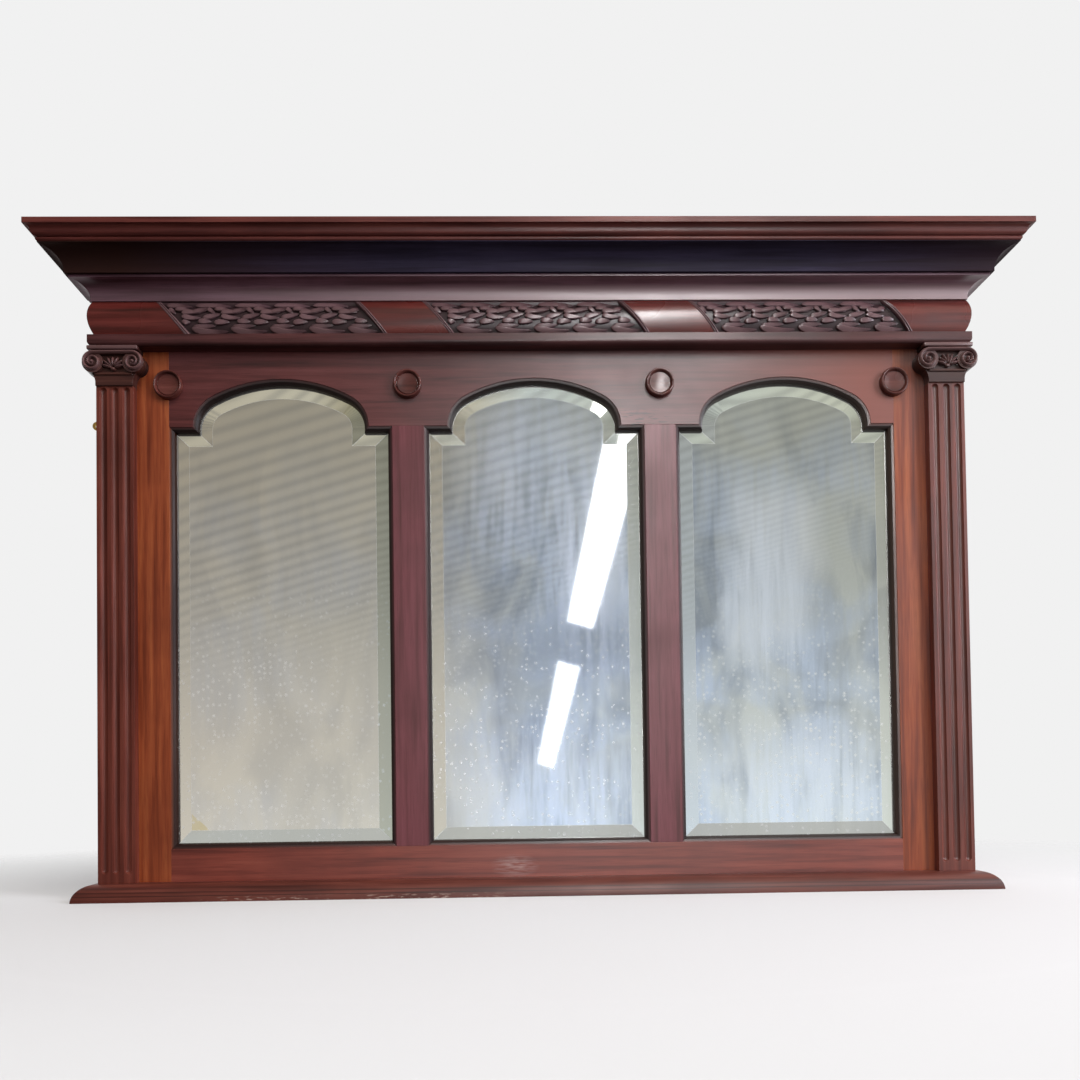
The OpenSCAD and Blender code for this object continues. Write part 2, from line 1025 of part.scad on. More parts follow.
// A turned roundel: flat back, ring, hollow and dome
module roundel(x) {
    ring_r = 2.9;
    dome_r = roundel_d / 2 - 2 * ring_r - 1.5;
    dome_h = roundel_t - 2.5;
    dome_R = (dome_r ^ 2 + dome_h ^ 2) / (2 * dome_h);
    translate([x, y_shift, shoulder_z + roundel_rise])
        rotate([90, 0, 0])
            rotate_extrude() {
                square([roundel_d / 2, 2.5]);
                translate([roundel_d / 2 - ring_r, 2.5])
                    intersection() {
                        circle(ring_r);
                        translate([-ring_r, 0])
                            square([2 * ring_r, ring_r]);
                    }
                translate([0, 2.5])
                    intersection() {
                        translate([0, dome_h - dome_R])
                            circle(dome_R);
                        square([dome_r, dome_h]);
                    }
            }
}

module roundel_outer_left() {
    color(mahogany)
        roundel(-stile_x);
}

module roundel_inner_left() {
    color(mahogany)
        roundel(-pitch / 2);
}

module roundel_inner_right() {
    color(mahogany)
        roundel(pitch / 2);
}

module roundel_outer_right() {
    color(mahogany)
        roundel(stile_x);
}

// ---------- glass and backboards ----------

// Upper half of a bevelled disc's section: the bevel falls towards the edge
module disc_section(r) {
    polygon([
        [0, 0], [r, 0], [r, glass_t - bevel_drop],
        [r - bevel_w, glass_t], [0, glass_t]
    ]);
}

// Bevelled disc, its flat back on the back of the glass
module round_plate(x, z, r) {
    translate([x, glass_y + glass_t, z])
        rotate([90, 90, 0])
            rotate_extrude($fn = 128)
                disc_section(r);
}

// Plate with a bevel on its two sides, from z0 to z1
module sided_plate(half, z0, z1) {
    translate([0, 0, z1])
        mirror([0, 0, 1])
            linear_extrude(z1 - z0)
                polygon([
                    [-half, glass_y + glass_t], [-half, glass_y + bevel_drop],
                    [-half + bevel_w, glass_y], [half - bevel_w, glass_y],
                    [half, glass_y + bevel_drop], [half, glass_y + glass_t]
                ]);
}

// Plate with a bevel on its lower and upper edges
module level_plate(half, z0, z1) {
    translate([-half, 0, 0])
        rotate([90, 0, 90])
            linear_extrude(2 * half)
                polygon([
                    [glass_y + glass_t, z0], [glass_y + bevel_drop, z0],
                    [glass_y, z0 + bevel_w], [glass_y, z1 - bevel_w],
                    [glass_y + bevel_drop, z1], [glass_y + glass_t, z1]
                ]);
}

// One bevelled plate with its arched, shouldered top
module mirror_plate(i) {
    half = half_open + glass_play;
    translate([i * pitch, y_shift, 0])
        union() {
            intersection() {
                sided_plate(half, open_z - glass_play, shoulder_z + glass_play);
                level_plate(half, open_z - glass_play, shoulder_z + glass_play);
            }
            sided_plate(arch_half + glass_play, shoulder_z - 2 * bevel_w, shoulder_z);
            arc_area(crown_area)
                round_plate(0, arch_zc, arch_r + glass_play);
            for (s = [0, 1])
                mirror([s, 0, 0])
                    arc_area(corner_area)
                        round_plate(corner_x, shoulder_z, arch_corner_r + glass_play);
            slab(glass_y, glass_y + glass_t)
                arch_middle();
        }
}

module mirror_left() {
    color(plate_colour)
        mirror_plate(-1);
}

module mirror_centre() {
    color(plate_colour)
        mirror_plate(0);
}

module mirror_right() {
    color(plate_colour)
        mirror_plate(1);
}

// Board that closes the back of one opening
module backboard(i) {
    translate([0, y_shift, 0])
        difference() {
            translate([
                i * pitch - half_open - board_lap,
                board_y,
                open_z - board_lap
            ])
                cube([
                    opening_w + 2 * board_lap,
                    board_t,
                    apex_z - open_z + 2 * board_lap
                ]);
            board_fixing(i)
                translate([0, 1, 0])
                    rotate([90, 0, 0])
                        cylinder(r = small_screw_r + screw_play, h = board_t + 2);
        }
}

module backboard_left() {
    color(pine)
        backboard(-1);
}

module backboard_centre() {
    color(pine)
        backboard(0);
}

module backboard_right() {
    color(pine)
        backboard(1);
}

// ---------- fixings ----------

// A brass wall plate, built for the right-hand side
module wall_plate(inset) {
    difference() {
        slab(frame_t - plate_t, frame_t)
            translate([half_w - inset, plate_z]) {
                translate([-plate_w, -plate_h / 2])
                    square([plate_w, plate_h]);
                translate([-1, -plate_lobe_r])
                    square([plate_lobe - plate_lobe_r + 1, 2 * plate_lobe_r]);
                translate([plate_lobe - plate_lobe_r, 0])
                    circle(plate_lobe_r);
            }
        y_hole(half_w - inset + plate_lobe - plate_lobe_r, plate_z, wall_hole_r,
            frame_t - plate_t - 1, frame_t + 1);
        plate_screws(inset, screw_play);
    }
}

module wall_plate_left() {
    color(brass)
        translate([0, y_shift, 0])
            mirror([1, 0, 0])
                wall_plate(plate_in_left);
}

module wall_plate_right() {
    color(brass)
        translate([0, y_shift, 0])
            wall_plate(plate_in_right);
}

module wall_plate_screws() {
    color(brass)
        translate([0, y_shift, 0]) {
            mirror([1, 0, 0])
                plate_screws(plate_in_left);
            plate_screws(plate_in_right);
        }
}

module backboard_screws() {
    color(steel)
        translate([0, y_shift, 0])
            for (i = [-1:1])
                board_fixing(i)
                    rotate([-90, 0, 0])
                        round_screw(small_screw_r, board_screw_len);
}

module pilaster_screws() {
    color(steel)
        translate([0, y_shift, 0]) {
            pilaster_fixing();
            mirror([1, 0, 0])
                pilaster_fixing();
        }
}

module cornice_screws() {
    color(steel)
        translate([0, y_shift, 0])
            cornice_fixing();
}

stile_left();
stile_right();
top_rail();
bottom_rail();
muntin_left();
muntin_right();
frieze_backing();
base_front();
base_left();
base_right();
astragal_front();
astragal_left();
astragal_right();
frieze_end_left();
frieze_mid_left();
frieze_mid_right();
frieze_end_right();
frieze_return_left();
frieze_return_right();
carved_frieze_left();
carved_frieze_centre();
carved_frieze_right();
bed_front();
bed_left();
bed_right();
cove_front();
cove_left();
cove_right();
crown_front();
crown_left();
crown_right();
dust_board();
pilaster_left();
pilaster_right();
capital_left();
capital_right();
roundel_outer_left();
roundel_inner_left();
roundel_inner_right();
roundel_outer_right();
mirror_left();
mirror_centre();
mirror_right();
backboard_left();
backboard_centre();
backboard_right();
wall_plate_left();
wall_plate_right();
wall_plate_screws();
backboard_screws();
pilaster_screws();
cornice_screws();
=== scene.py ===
import math

import bmesh
import bpy
from mathutils import Euler, Matrix, Vector


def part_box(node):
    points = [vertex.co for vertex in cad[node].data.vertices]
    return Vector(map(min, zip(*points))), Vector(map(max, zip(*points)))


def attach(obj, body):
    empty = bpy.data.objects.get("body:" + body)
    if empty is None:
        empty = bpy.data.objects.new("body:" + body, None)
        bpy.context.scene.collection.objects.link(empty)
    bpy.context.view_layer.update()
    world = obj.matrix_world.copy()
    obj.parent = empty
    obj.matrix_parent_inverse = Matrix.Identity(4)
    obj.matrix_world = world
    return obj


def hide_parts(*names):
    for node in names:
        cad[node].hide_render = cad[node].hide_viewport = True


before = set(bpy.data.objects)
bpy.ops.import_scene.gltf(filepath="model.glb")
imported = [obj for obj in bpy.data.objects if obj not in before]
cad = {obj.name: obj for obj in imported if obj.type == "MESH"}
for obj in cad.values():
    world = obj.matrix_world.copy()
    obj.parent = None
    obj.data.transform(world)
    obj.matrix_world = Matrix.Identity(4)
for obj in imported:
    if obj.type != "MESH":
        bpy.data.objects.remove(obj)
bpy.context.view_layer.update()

MM = 0.001
# Strength of the soft light, and of the room that shiny faces mirror
SOFT_LIGHT = 0.62
ROOM_LIGHT = 1.65

# ---------- sizes, in millimetres ----------

# Front of the flat frame, and foot and top of the cushion frieze
FRAME_FACE = 27.75
FRIEZE_Z, BED_Z = 833.0, 883.0
# The cushion is part of a cylinder along X
FRIEZE_R = 50.0
FRIEZE_AXIS_Y = 56.75
FRIEZE_AXIS_Z = 860.0
# All openings lie within this distance of the middle of the frame
OPENINGS_END = 570.0
# Width of the bevel of the plates
BEVEL = 27.0

# Middles of the carved lengths of the frieze and of the capitals
CARVED_X = {"left": -387.0, "centre": 5.0, "right": 402.0}
CAPITAL_X = {"left": -621.75, "right": 621.75}
# A carved length, how far its ends lean, and the depth of its ground
CARVED_LONG = 300.0
CARVED_LEAN = 43.0
GROUND = -4.6
# Ribbon at each end of it: distance from the end, and how proud it stands there
RIBBON = [
    (0.0, 0.0), (0.6, 0.5), (1.7, 0.9), (2.8, 0.5), (3.4, -0.9),
    (4.0, 0.3), (5.1, 0.7), (6.2, 0.3), (6.9, -1.0), (7.6, GROUND),
]
# Leaves keep this far from the ends
RIBBON_WIDE = 10.5
# Leaves of one repeat of the laurel band: start, bend and end as (along, height),
# width, and how proud the leaf stands
LAUREL = [
    ((0, 843.0), (20, 833.5), (54, 838.5), 8.0, 5.6),
    ((6, 877.6), (30, 881.0), (60, 876.5), 8.2, 5.4),
    ((34, 871.0), (45, 872.6), (57, 871.2), 6.4, 5.2),
    ((24, 873.0), (29, 870.0), (35, 863.8), 6.0, 5.0),
    ((45, 863.4), (50, 869.0), (73, 865.6), 7.0, 6.0),
    ((45, 861.2), (50, 855.6), (73, 857.6), 7.0, 6.0),
    ((10, 851.4), (20, 853.4), (30, 851.0), 6.8, 5.2),
    ((34, 849.2), (45, 852.4), (57, 850.6), 7.0, 5.6),
    ((3, 845.0), (20, 843.8), (37, 846.0), 6.0, 4.6),
    ((17, 857.0), (30, 859.4), (44, 864.0), 7.0, 4.6),
    ((2, 866.6), (14, 870.2), (28, 872.4), 6.6, 4.6),
]
LAUREL_PITCH = 57.7
# First repeat, from the middle of the length, and the shortest leaf that is kept
LAUREL_START = -120.0
SHORTEST_LEAF = 8.0

# Half outline of a capital's block, as (reach, height)
CAPITAL = [
    (27.25, 759.0), (27.25, 765.0), (28.0, 769.0), (30.0, 774.0), (33.0, 778.0),
    (34.0, 792.0), (33.0, 806.0), (34.0, 812.0), (34.0, 816.0),
]
# Fronts of the block, of the abacus over it and of the ground of the volutes
CAPITAL_Y, ABACUS_Y, VOLUTE_Y = 13.2, 6.0, 9.2
ABACUS_WIDE, ABACUS_HIGH, ABACUS_ROUND = 74.0, 6.0, 1.4
# Middle of a volute, from the middle of the capital, and its radius
VOLUTE_X, VOLUTE_Z, VOLUTE_R = 29.6, 792.2, 15.4
# Band that curls into the volutes: its turns, the radius where the curl starts and how
# much of that it loses, half its thickness and what it loses of that, half its depth
CURL_TURNS, CURL_R, CURL_LOSS = 1.6, 14.3, 10.3
BAND_THICK, BAND_LOSS, BAND_DEEP, BAND_Y = 2.9, 1.2, 5.6, 10.6
EYE_R, EYE_Y = 2.6, 8.6
# Leaves of the fan between the volutes: angle and length, and half their width and depth
FAN = [(-74, 16), (-52, 17), (-27, 16), (0, 15), (27, 16), (52, 17), (74, 16)]
FAN_Y, FAN_Z = 11.6, 783.5
FAN_WIDE, FAN_DEEP = 2.2, 4.6
HUSK_R, HUSK_Y, HUSK_Z = 3.0, 12.0, 782.5
# Bead between the neck and the volutes
BEAD_R, BEAD_LONG, BEAD_Y, BEAD_Z = 2.0, 54.5, 13.0, 776.0

# Section of a roundel: radius, and height over its seat
ROUNDEL = [
    (0.0, 3.4), (5.0, 3.5), (10.0, 3.9), (14.0, 4.5), (15.2, 4.6), (15.7, 4.2),
    (16.0, 3.4), (16.4, 3.5), (16.9, 5.2), (17.6, 6.7), (18.4, 7.6), (19.3, 8.0),
    (20.2, 7.6), (20.9, 6.7), (21.3, 5.4), (21.5, 4.0), (21.5, 0.0), (0.0, 0.0),
]


# ---------- colours and nodes ----------


def linear(code):
    """An sRGB hex colour as the linear colour that a socket takes."""
    parts = [int(code[i : i + 2], 16) / 255 for i in (1, 3, 5)]
    return [c / 12.92 if c <= 0.04045 else ((c + 0.055) / 1.055) ** 2.4 for c in parts] + [1.0]


def add(tree, kind, inputs=None, stops=(), **settings):
    """Adds a shader node with its settings, its colour stops and its inputs. An input
    is a value, a socket, or a node, whose first output in use is linked."""
    made = tree.nodes.new("ShaderNode" + kind)
    for name, value in settings.items():
        setattr(made, name, value)
    if stops:
        elements = made.color_ramp.elements
        for _ in stops[len(elements) :]:
            elements.new(0.5)
        for element, (position, code) in zip(elements, stops):
            element.position = position
            element.color = linear(code)
    for name, value in (inputs or {}).items():
        if isinstance(value, bpy.types.Node):
            value = next(output for output in value.outputs if output.enabled)
        if isinstance(value, bpy.types.NodeSocket):
            tree.links.new(value, made.inputs[name])
        else:
            made.inputs[name].default_value = value
    return made


def new_material(name):
    """An empty material and its tree of nodes."""
    material = bpy.data.materials.new(name)
    material.use_nodes = True
    material.node_tree.nodes.clear()
    return material, material.node_tree


def cells(*sizes):
    """Scale of a pattern whose cells have these sizes, in millimetres."""
    scales = [1.0 / (size * MM) for size in sizes]
    return scales if len(scales) > 1 else scales[0]


def patch(tree, place, middle, half_sizes):
    """How far a point of the front lies from the middle of an oval patch: 1 is the
    edge of the patch."""
    (x, z), (wide, tall) = middle, half_sizes
    shift, scale = (-x / wide, 0.0, -z / tall), (1 / wide, 0.0, 1 / tall)
    spot = add(tree, "Mapping", {"Vector": place, "Location": shift, "Scale": scale})
    return add(tree, "VectorMath", {0: spot}, operation="LENGTH")


# ---------- camera, floor and light ----------


def place_camera():
    """Camera at the photograph's angle: low, in front, with a raised lens."""
    bpy.context.scene.view_settings.view_transform = "Standard"
    sensor_mm = 36.0
    image_px, focal_px = 1080.0, 789.47
    axis_px = (511.9, 756.0)
    tilt, turn, roll = 0.0185, -0.0176, -0.0132
    data = bpy.data.cameras.new("camera")
    data.sensor_width = sensor_mm
    data.lens = focal_px / image_px * sensor_mm
    data.shift_x = (image_px / 2 - axis_px[0]) / image_px
    data.shift_y = (axis_px[1] - image_px / 2) / image_px
    camera = bpy.data.objects.new("camera", data)
    aim = Euler((math.pi / 2 + tilt, 0.0, turn)).to_matrix()
    camera.rotation_euler = (aim @ Matrix.Rotation(roll, 3, "Z")).to_euler()
    # Metres: left of the middle, in front of the wall, over the shelf
    camera.location = (-0.06122, -1.1531, 0.1821)
    bpy.context.scene.collection.objects.link(camera)
    bpy.context.scene.camera = camera


def paint_room(tree, across, up):
    """Grey room in front of the mirror, by the slopes of the view into it: brighter
    near the horizon, warmer on the left, under a ceiling with ribs."""
    level = add(tree, "MapRange", {0: up, 1: -0.5, 2: 0.7})
    wall = add(tree, "ValToRGB", {0: level}, stops=[
        (0.0, "#8a8985"), (0.06, "#9f9f9c"), (0.3, "#c0c0bc"), (0.335, "#d6dad8"),
        (0.45, "#c6c8c6"), (0.6, "#b2b4b1"), (0.78, "#a2a198"), (0.86, "#9a9a90"),
        (0.93, "#b7b9ae"), (1.0, "#bfc1b6"),
    ])
    sideways = add(tree, "MapRange", {0: across, 1: -0.5, 2: 0.6})
    sides = add(tree, "ValToRGB", {0: sideways}, stops=[
        (0.0, "#dfd4cb"), (0.35, "#e6dfd8"), (0.5, "#e7effc"), (0.75, "#ebf0f3"), (1.0, "#eef0ec"),
    ])
    room = add(tree, "Mix", {0: 1.0, 6: wall, 7: sides}, data_type="RGBA", blend_type="MULTIPLY")
    # Ribs rise to the right, and stand wider apart overhead
    slant = add(tree, "Math", {0: across, 1: -0.3, 2: up}, operation="MULTIPLY_ADD")
    above = add(tree, "Math", {0: slant, 1: 0.03}, operation="MAXIMUM")
    spread = add(tree, "Math", {0: above, 1: math.e}, operation="LOGARITHM")
    turns = add(tree, "Math", {0: spread, 1: 161.0}, operation="MULTIPLY")
    wave = add(tree, "Math", {0: turns}, operation="SINE")
    rib = add(tree, "MapRange", {0: wave, 1: -0.3, 2: 0.9})
    overhead = add(tree, "MapRange", {0: up, 1: 0.1, 2: 0.24, 4: 0.42})
    ribs = add(tree, "Math", {0: rib, 1: overhead}, operation="MULTIPLY")
    return add(tree, "Mix", {0: ribs, 6: room, 7: linear("#57585a")}, data_type="RGBA")


def light_world():
    """Studio: a pale backdrop to the eye, soft light from above, and for shiny faces a
    grey room in front."""
    world = bpy.data.worlds.new("studio")
    bpy.context.scene.world = world
    world.use_nodes = True
    tree = world.node_tree
    tree.nodes.clear()
    way = add(tree, "SeparateXYZ", {0: add(tree, "TexCoord").outputs["Generated"]}).outputs
    # Slopes of the view into the room: across, and up
    ahead = add(tree, "Math", {0: way["Y"], 1: -1.0}, operation="MULTIPLY")
    depth = add(tree, "Math", {0: ahead, 1: 0.05}, operation="MAXIMUM")
    across = add(tree, "Math", {0: way["X"], 1: depth}, operation="DIVIDE")
    up = add(tree, "Math", {0: way["Z"], 1: depth}, operation="DIVIDE")
    room = paint_room(tree, across, up)
    back = add(tree, "MapRange", {0: way["Y"], 1: -0.05, 2: 0.1})
    around = add(tree, "Mix", {0: back, 6: room, 7: linear("#e4e4e4")}, data_type="RGBA")
    height = add(tree, "MapRange", {0: way["Z"], 1: -0.3, 2: 1.0})
    sky = add(tree, "ValToRGB", {0: height}, stops=[
        (0.0, "#2a2724"), (0.18, "#8a8886"), (0.32, "#dcdcde"), (1.0, "#f6f6f8"),
    ])
    path = add(tree, "LightPath").outputs
    eye = add(tree, "Background", {0: linear("#f1f1f1")})
    mirrored = add(tree, "Background", {0: around, 1: ROOM_LIGHT})
    soft = add(tree, "Background", {0: sky, 1: SOFT_LIGHT})
    shiny = add(
        tree,
        "Math",
        {0: path["Is Glossy Ray"], 1: path["Is Transmission Ray"]},
        operation="MAXIMUM",
    )
    light = add(tree, "MixShader", {0: shiny, 1: soft, 2: mirrored})
    seen = add(tree, "MixShader", {0: path["Is Camera Ray"], 1: light, 2: eye})
    add(tree, "OutputWorld", {0: seen})


def softbox(name, place, aim, size, power, tint="#ffffff"):
    """A rectangular lamp aimed at a point."""
    data = bpy.data.lights.new(name, "AREA")
    data.shape = "RECTANGLE"
    data.size, data.size_y = size
    data.energy = power
    data.color = linear(tint)[:3]
    lamp = bpy.data.objects.new(name, data)
    lamp.location = place
    lamp.rotation_euler = (Vector(aim) - Vector(place)).to_track_quat("-Z", "Y").to_euler()
    bpy.context.scene.collection.objects.link(lamp)
    return lamp


def strip_lamp(name, near, far, width, glow, plates):
    """A long lamp between two points, turned to the mirror. It shows only in shine, and
    only in the plates that the group lets it light."""
    near, far = Vector(near), Vector(far)
    middle, length = (near + far) / 2, (near - far).length
    power = glow * math.pi * width * length
    lamp = softbox(name, middle, (0.0, 0.0, 0.0), (width, length), power)
    axis = (near - far).normalized()
    outwards = (Vector((0.0, 0.04, 0.5)) - middle).normalized()
    side = axis.cross(-outwards).normalized()
    lamp.rotation_euler = Matrix((side, axis, side.cross(axis))).transposed().to_euler()
    lamp.visible_diffuse = False
    lamp.light_linking.receiver_collection = plates


def link_plates(name, plates, state):
    """A group of plates that a lamp lights, or leaves out."""
    group = bpy.data.collections.new(name)
    for plate_name in plates:
        group.objects.link(cad[plate_name])
    for member in group.collection_objects:
        member.light_linking.link_state = state
    return group


def light_lamps():
    """A window on the right, a lamp overhead, and two strip lamps in a row. The strips
    glow strongly in the polish of the wood, and weakly in the middle plate alone."""
    softbox("window", (2.85, -1.5, 1.25), (0.1, 0.0, 0.5), (1.1, 1.8), 70.0, "#f2f4ff")
    above = softbox("above", (0.5, -1.25, 2.6), (0.0, 0.0, 0.5), (2.0, 0.9), 26.0, "#fff6ec")
    above.visible_glossy = False
    plates = ("mirror_left", "mirror_centre", "mirror_right")
    all_but_plates = link_plates("lamp_for_wood", plates, "EXCLUDE")
    middle_plate = link_plates("lamp_for_middle_plate", plates[1:2], "INCLUDE")
    near_ends = (0.430, -0.95, 1.601), (0.410, -3.2, 0.997)
    far_ends = (0.345, -3.2, 0.778), (0.323, -5.2, 0.224)
    for name, group, near_glow, far_glow in (
        ("wood", all_but_plates, 50.0, 95.0),
        ("plate", middle_plate, 2.6, 2.4),
    ):
        strip_lamp("strip_near_" + name, *near_ends, 0.15, near_glow, group)
        strip_lamp("strip_far_" + name, *far_ends, 0.13, far_glow, group)


def lay_floor():
    """Pale floor that fades into the backdrop. The light that it throws back is dim, so
    that faces turned down stay dark."""
    material, tree = new_material("pale_floor")
    place = add(tree, "TexCoord").outputs["Object"]
    squeezed = add(tree, "Mapping", {"Vector": place, "Scale": (1.0, 1.6, 1.0)})
    reach = add(tree, "VectorMath", {0: squeezed}, operation="LENGTH")
    path = add(tree, "LightPath").outputs
    seen = add(tree, "BsdfDiffuse", {0: linear("#f4f4f4")})
    bounce = add(tree, "BsdfDiffuse", {0: linear("#6c6865")})
    clear = add(tree, "BsdfTransparent")
    # Mirrored close by, in the bevels of the plates, the floor is a plain grey
    grey = add(tree, "Emission", {0: linear("#d0d2d0")})
    close = add(tree, "MapRange", {0: path["Ray Length"], 1: 0.75, 2: 0.5})
    mirrored = add(tree, "Math", {0: path["Is Glossy Ray"], 1: close}, operation="MULTIPLY")
    lit = add(tree, "MixShader", {0: mirrored, 1: bounce, 2: grey})
    seen_fade = add(tree, "MapRange", {0: reach, 1: 0.85, 2: 1.7})
    lit_fade = add(tree, "MapRange", {0: reach, 1: 0.8, 2: 1.2})
    seen_floor = add(tree, "MixShader", {0: seen_fade, 1: seen, 2: clear})
    lit_floor = add(tree, "MixShader", {0: lit_fade, 1: lit, 2: clear})
    both = add(tree, "MixShader", {0: path["Is Camera Ray"], 1: lit_floor, 2: seen_floor})
    add(tree, "OutputMaterial", {0: both})
    shape = bmesh.new()
    bmesh.ops.create_circle(shape, cap_ends=True, segments=96, radius=2.4)
    make_object("floor", shape, material)


# ---------- mahogany: places in metres, sizes of a pattern in millimetres ----------


def wood_patterns(tree, place, grain, shift):
    """Figure and pores along the grain, and clouds of patina."""
    along = {"X": 0, "Z": 2}[grain]
    # Figure is 9 mm wide and 222 mm long, pores are 1 mm wide and 28 mm long. Real
    # pores are finer, but wouldn't show
    figure_size, pore_size = [9.091] * 3, [1.0] * 3
    figure_size[along], pore_size[along] = 222.2, 27.78
    figured = add(
        tree,
        "Mapping",
        {"Vector": place, "Location": [shift] * 3, "Scale": cells(*figure_size)},
    )
    figure = add(
        tree,
        "TexNoise",
        {"Vector": figured, "Scale": 1.0, "Detail": 3.0, "Roughness": 0.5, "Distortion": 0.3},
    )
    stretched = add(tree, "Mapping", {"Vector": place, "Scale": cells(*pore_size)})
    pores = add(tree, "TexNoise", {"Vector": stretched, "Scale": 1.0, "Detail": 1.0})
    # Clouds of patina are 143 mm across
    patina = add(
        tree,
        "TexNoise",
        {"Vector": place, "Scale": cells(142.9), "Detail": 3.0, "Roughness": 0.6},
    )
    return figure, pores, patina


def french_polished_mahogany(name, grain, tones, shift, gloss, marks=None, shine=0.5):
    """Mahogany, planed and french-polished with shellac: the eye sees quiet ribbon
    figure, fine dark pores along the grain, patina in clouds, worn arrises and a soft
    satin shine. Marks are those of one piece alone."""
    material, tree = new_material("mahogany_" + name)
    place = add(tree, "TexCoord").outputs["Object"]
    dark, pale = linear(tones[0]), linear(tones[2])
    figure, pores, patina = wood_patterns(tree, place, grain, shift)
    wood = add(tree, "ValToRGB", {0: figure}, stops=list(zip((0.25, 0.5, 0.75), tones)))
    in_pores = add(tree, "MapRange", {0: pores, 1: 0.54, 2: 0.7, 4: 0.3})
    in_patina = add(tree, "MapRange", {0: patina, 1: 0.45, 2: 0.7, 4: 0.4})
    # Arrises are rubbed over a width of about a millimetre
    rounded = add(tree, "Bevel", {"Radius": 0.9 * MM}, samples=4)
    flat = add(tree, "NewGeometry").outputs["Normal"]
    turned = add(tree, "VectorMath", {0: rounded, 1: flat}, operation="DOT_PRODUCT")
    on_arris = add(tree, "MapRange", {0: turned, 1: 0.99, 2: 0.85, 4: 0.35})
    for share, tone in ((in_pores, dark), (in_patina, dark), (on_arris, pale)):
        wood = add(tree, "Mix", {0: share, 6: wood, 7: tone}, data_type="RGBA")
    if marks:
        wood = marks(tree, place, wood)
    # Faces turned to the wall were never polished: dry, dusty brown
    facing = add(tree, "SeparateXYZ", {0: flat}).outputs["Y"]
    back = add(tree, "MapRange", {0: facing, 1: 0.6, 2: 0.9})
    raw = add(tree, "ValToRGB", {0: figure}, stops=[(0.3, "#5d4031"), (0.55, "#735240"), (0.75, "#86644f")])
    colour = add(tree, "Mix", {0: back, 6: wood, 7: raw}, data_type="RGBA")
    satin = add(tree, "MapRange", {0: patina, 1: 0.3, 2: 0.7, 3: gloss - 0.04, 4: gloss + 0.08})
    dry = add(tree, "Math", {0: back, 1: 0.8}, operation="MULTIPLY")
    rough = add(tree, "Math", {0: satin, 1: dry}, operation="MAXIMUM")
    # Polish is duller towards the left end
    sideways = add(tree, "SeparateXYZ", {0: place}).outputs["X"]
    polish = add(tree, "MapRange", {0: sideways, 1: -0.6, 2: 0.3, 3: 0.25 * shine, 4: shine})
    grooves = add(
        tree,
        "Bump",
        {"Height": pores, "Normal": rounded, "Strength": 0.1, "Distance": 0.2 * MM},
    )
    shader = add(
        tree,
        "BsdfPrincipled",
        {"Base Color": colour, "Roughness": rough, "Specular IOR Level": polish, "Normal": grooves},
    )
    add(tree, "OutputMaterial", {0: shader})
    return material


def ovolo_shade_and_dirt(tree, place, wood):
    """Painted shade and dirt: the ovolo round the plates, behind the flat face of the
    frame, is painted nearly black, for the shade in that recess and old dirty polish."""
    at = add(tree, "SeparateXYZ", {0: place}).outputs
    across = add(tree, "Math", {0: at["X"]}, operation="ABSOLUTE")
    inside = add(tree, "MapRange", {0: across, 1: (OPENINGS_END + 5.0) * MM, 2: OPENINGS_END * MM})
    low, deep = (FRAME_FACE + 0.25) * MM, (FRAME_FACE + 1.95) * MM
    sunk = add(tree, "MapRange", {0: at["Y"], 1: low, 2: deep, 4: 0.93})
    # Painted shade, with some dirt, in the sunk ovolo inside the openings
    black = add(tree, "Math", {0: inside, 1: sunk}, operation="MULTIPLY")
    return add(tree, "Mix", {0: black, 6: wood, 7: linear("#130b0b")}, data_type="RGBA")


def painted_light_right_end(tree, place, wood):
    """Top rail: its right end is painted a warmer red, as painted light from the right,
    and it is scratched under the roundel between the middle and right arches."""
    at = add(tree, "SeparateXYZ", {0: place}).outputs
    # Painted light: the right end is warmer and redder, as if lit from the right
    lit_share = add(tree, "MapRange", {0: at["X"], 1: 0.24, 2: 0.5, 4: 0.75})
    lit_red = add(tree, "Mix", {0: lit_share, 6: wood, 7: linear("#93452f")}, data_type="RGBA")
    # Scratches are 17 mm long and 2.4 mm apart
    slanted = add(
        tree,
        "Mapping",
        {"Vector": place, "Rotation": (0.0, 0.9, 0.0), "Scale": cells(16.667, 16.667, 2.381)},
    )
    marks = add(tree, "TexNoise", {"Vector": slanted, "Scale": 1.0, "Detail": 2.0})
    scratch = add(tree, "MapRange", {0: marks, 1: 0.54, 2: 0.6})
    reach = patch(tree, place, (0.157, 0.703), (0.06, 0.03))
    near = add(tree, "MapRange", {0: reach, 1: 1.0, 2: 0.5, 4: 0.8})
    scuffed = add(tree, "Math", {0: scratch, 1: near}, operation="MULTIPLY")
    marked = add(tree, "Mix", {0: scuffed, 6: lit_red, 7: linear("#2a1719")}, data_type="RGBA")
    return ovolo_shade_and_dirt(tree, place, marked)


def painted_sheen_rail(tree, place, wood):
    """Bottom rail: a pale, streaked patch left of the middle is a painted sheen."""
    # Streaks are 17 mm long and 1.7 mm apart, the patch is 70 mm wide and 34 mm high
    streaked = add(tree, "Mapping", {"Vector": place, "Scale": cells(16.667, 16.667, 1.6667)})
    streaks = add(tree, "TexNoise", {"Vector": streaked, "Scale": 1.0, "Detail": 2.0})
    streak = add(tree, "MapRange", {0: streaks, 1: 0.35, 2: 0.65})
    reach = patch(tree, place, (-0.038, 0.04), (0.035, 0.017))
    near = add(tree, "MapRange", {0: reach, 1: 1.1, 2: 0.3, 4: 0.6})
    # Painted sheen: a pale patch of streaks, in place of a reflection
    sheen_share = add(tree, "Math", {0: streak, 1: near}, operation="MULTIPLY")
    sheened = add(tree, "Mix", {0: sheen_share, 6: wood, 7: linear("#c5a29c")}, data_type="RGBA")
    return ovolo_shade_and_dirt(tree, place, sheened)


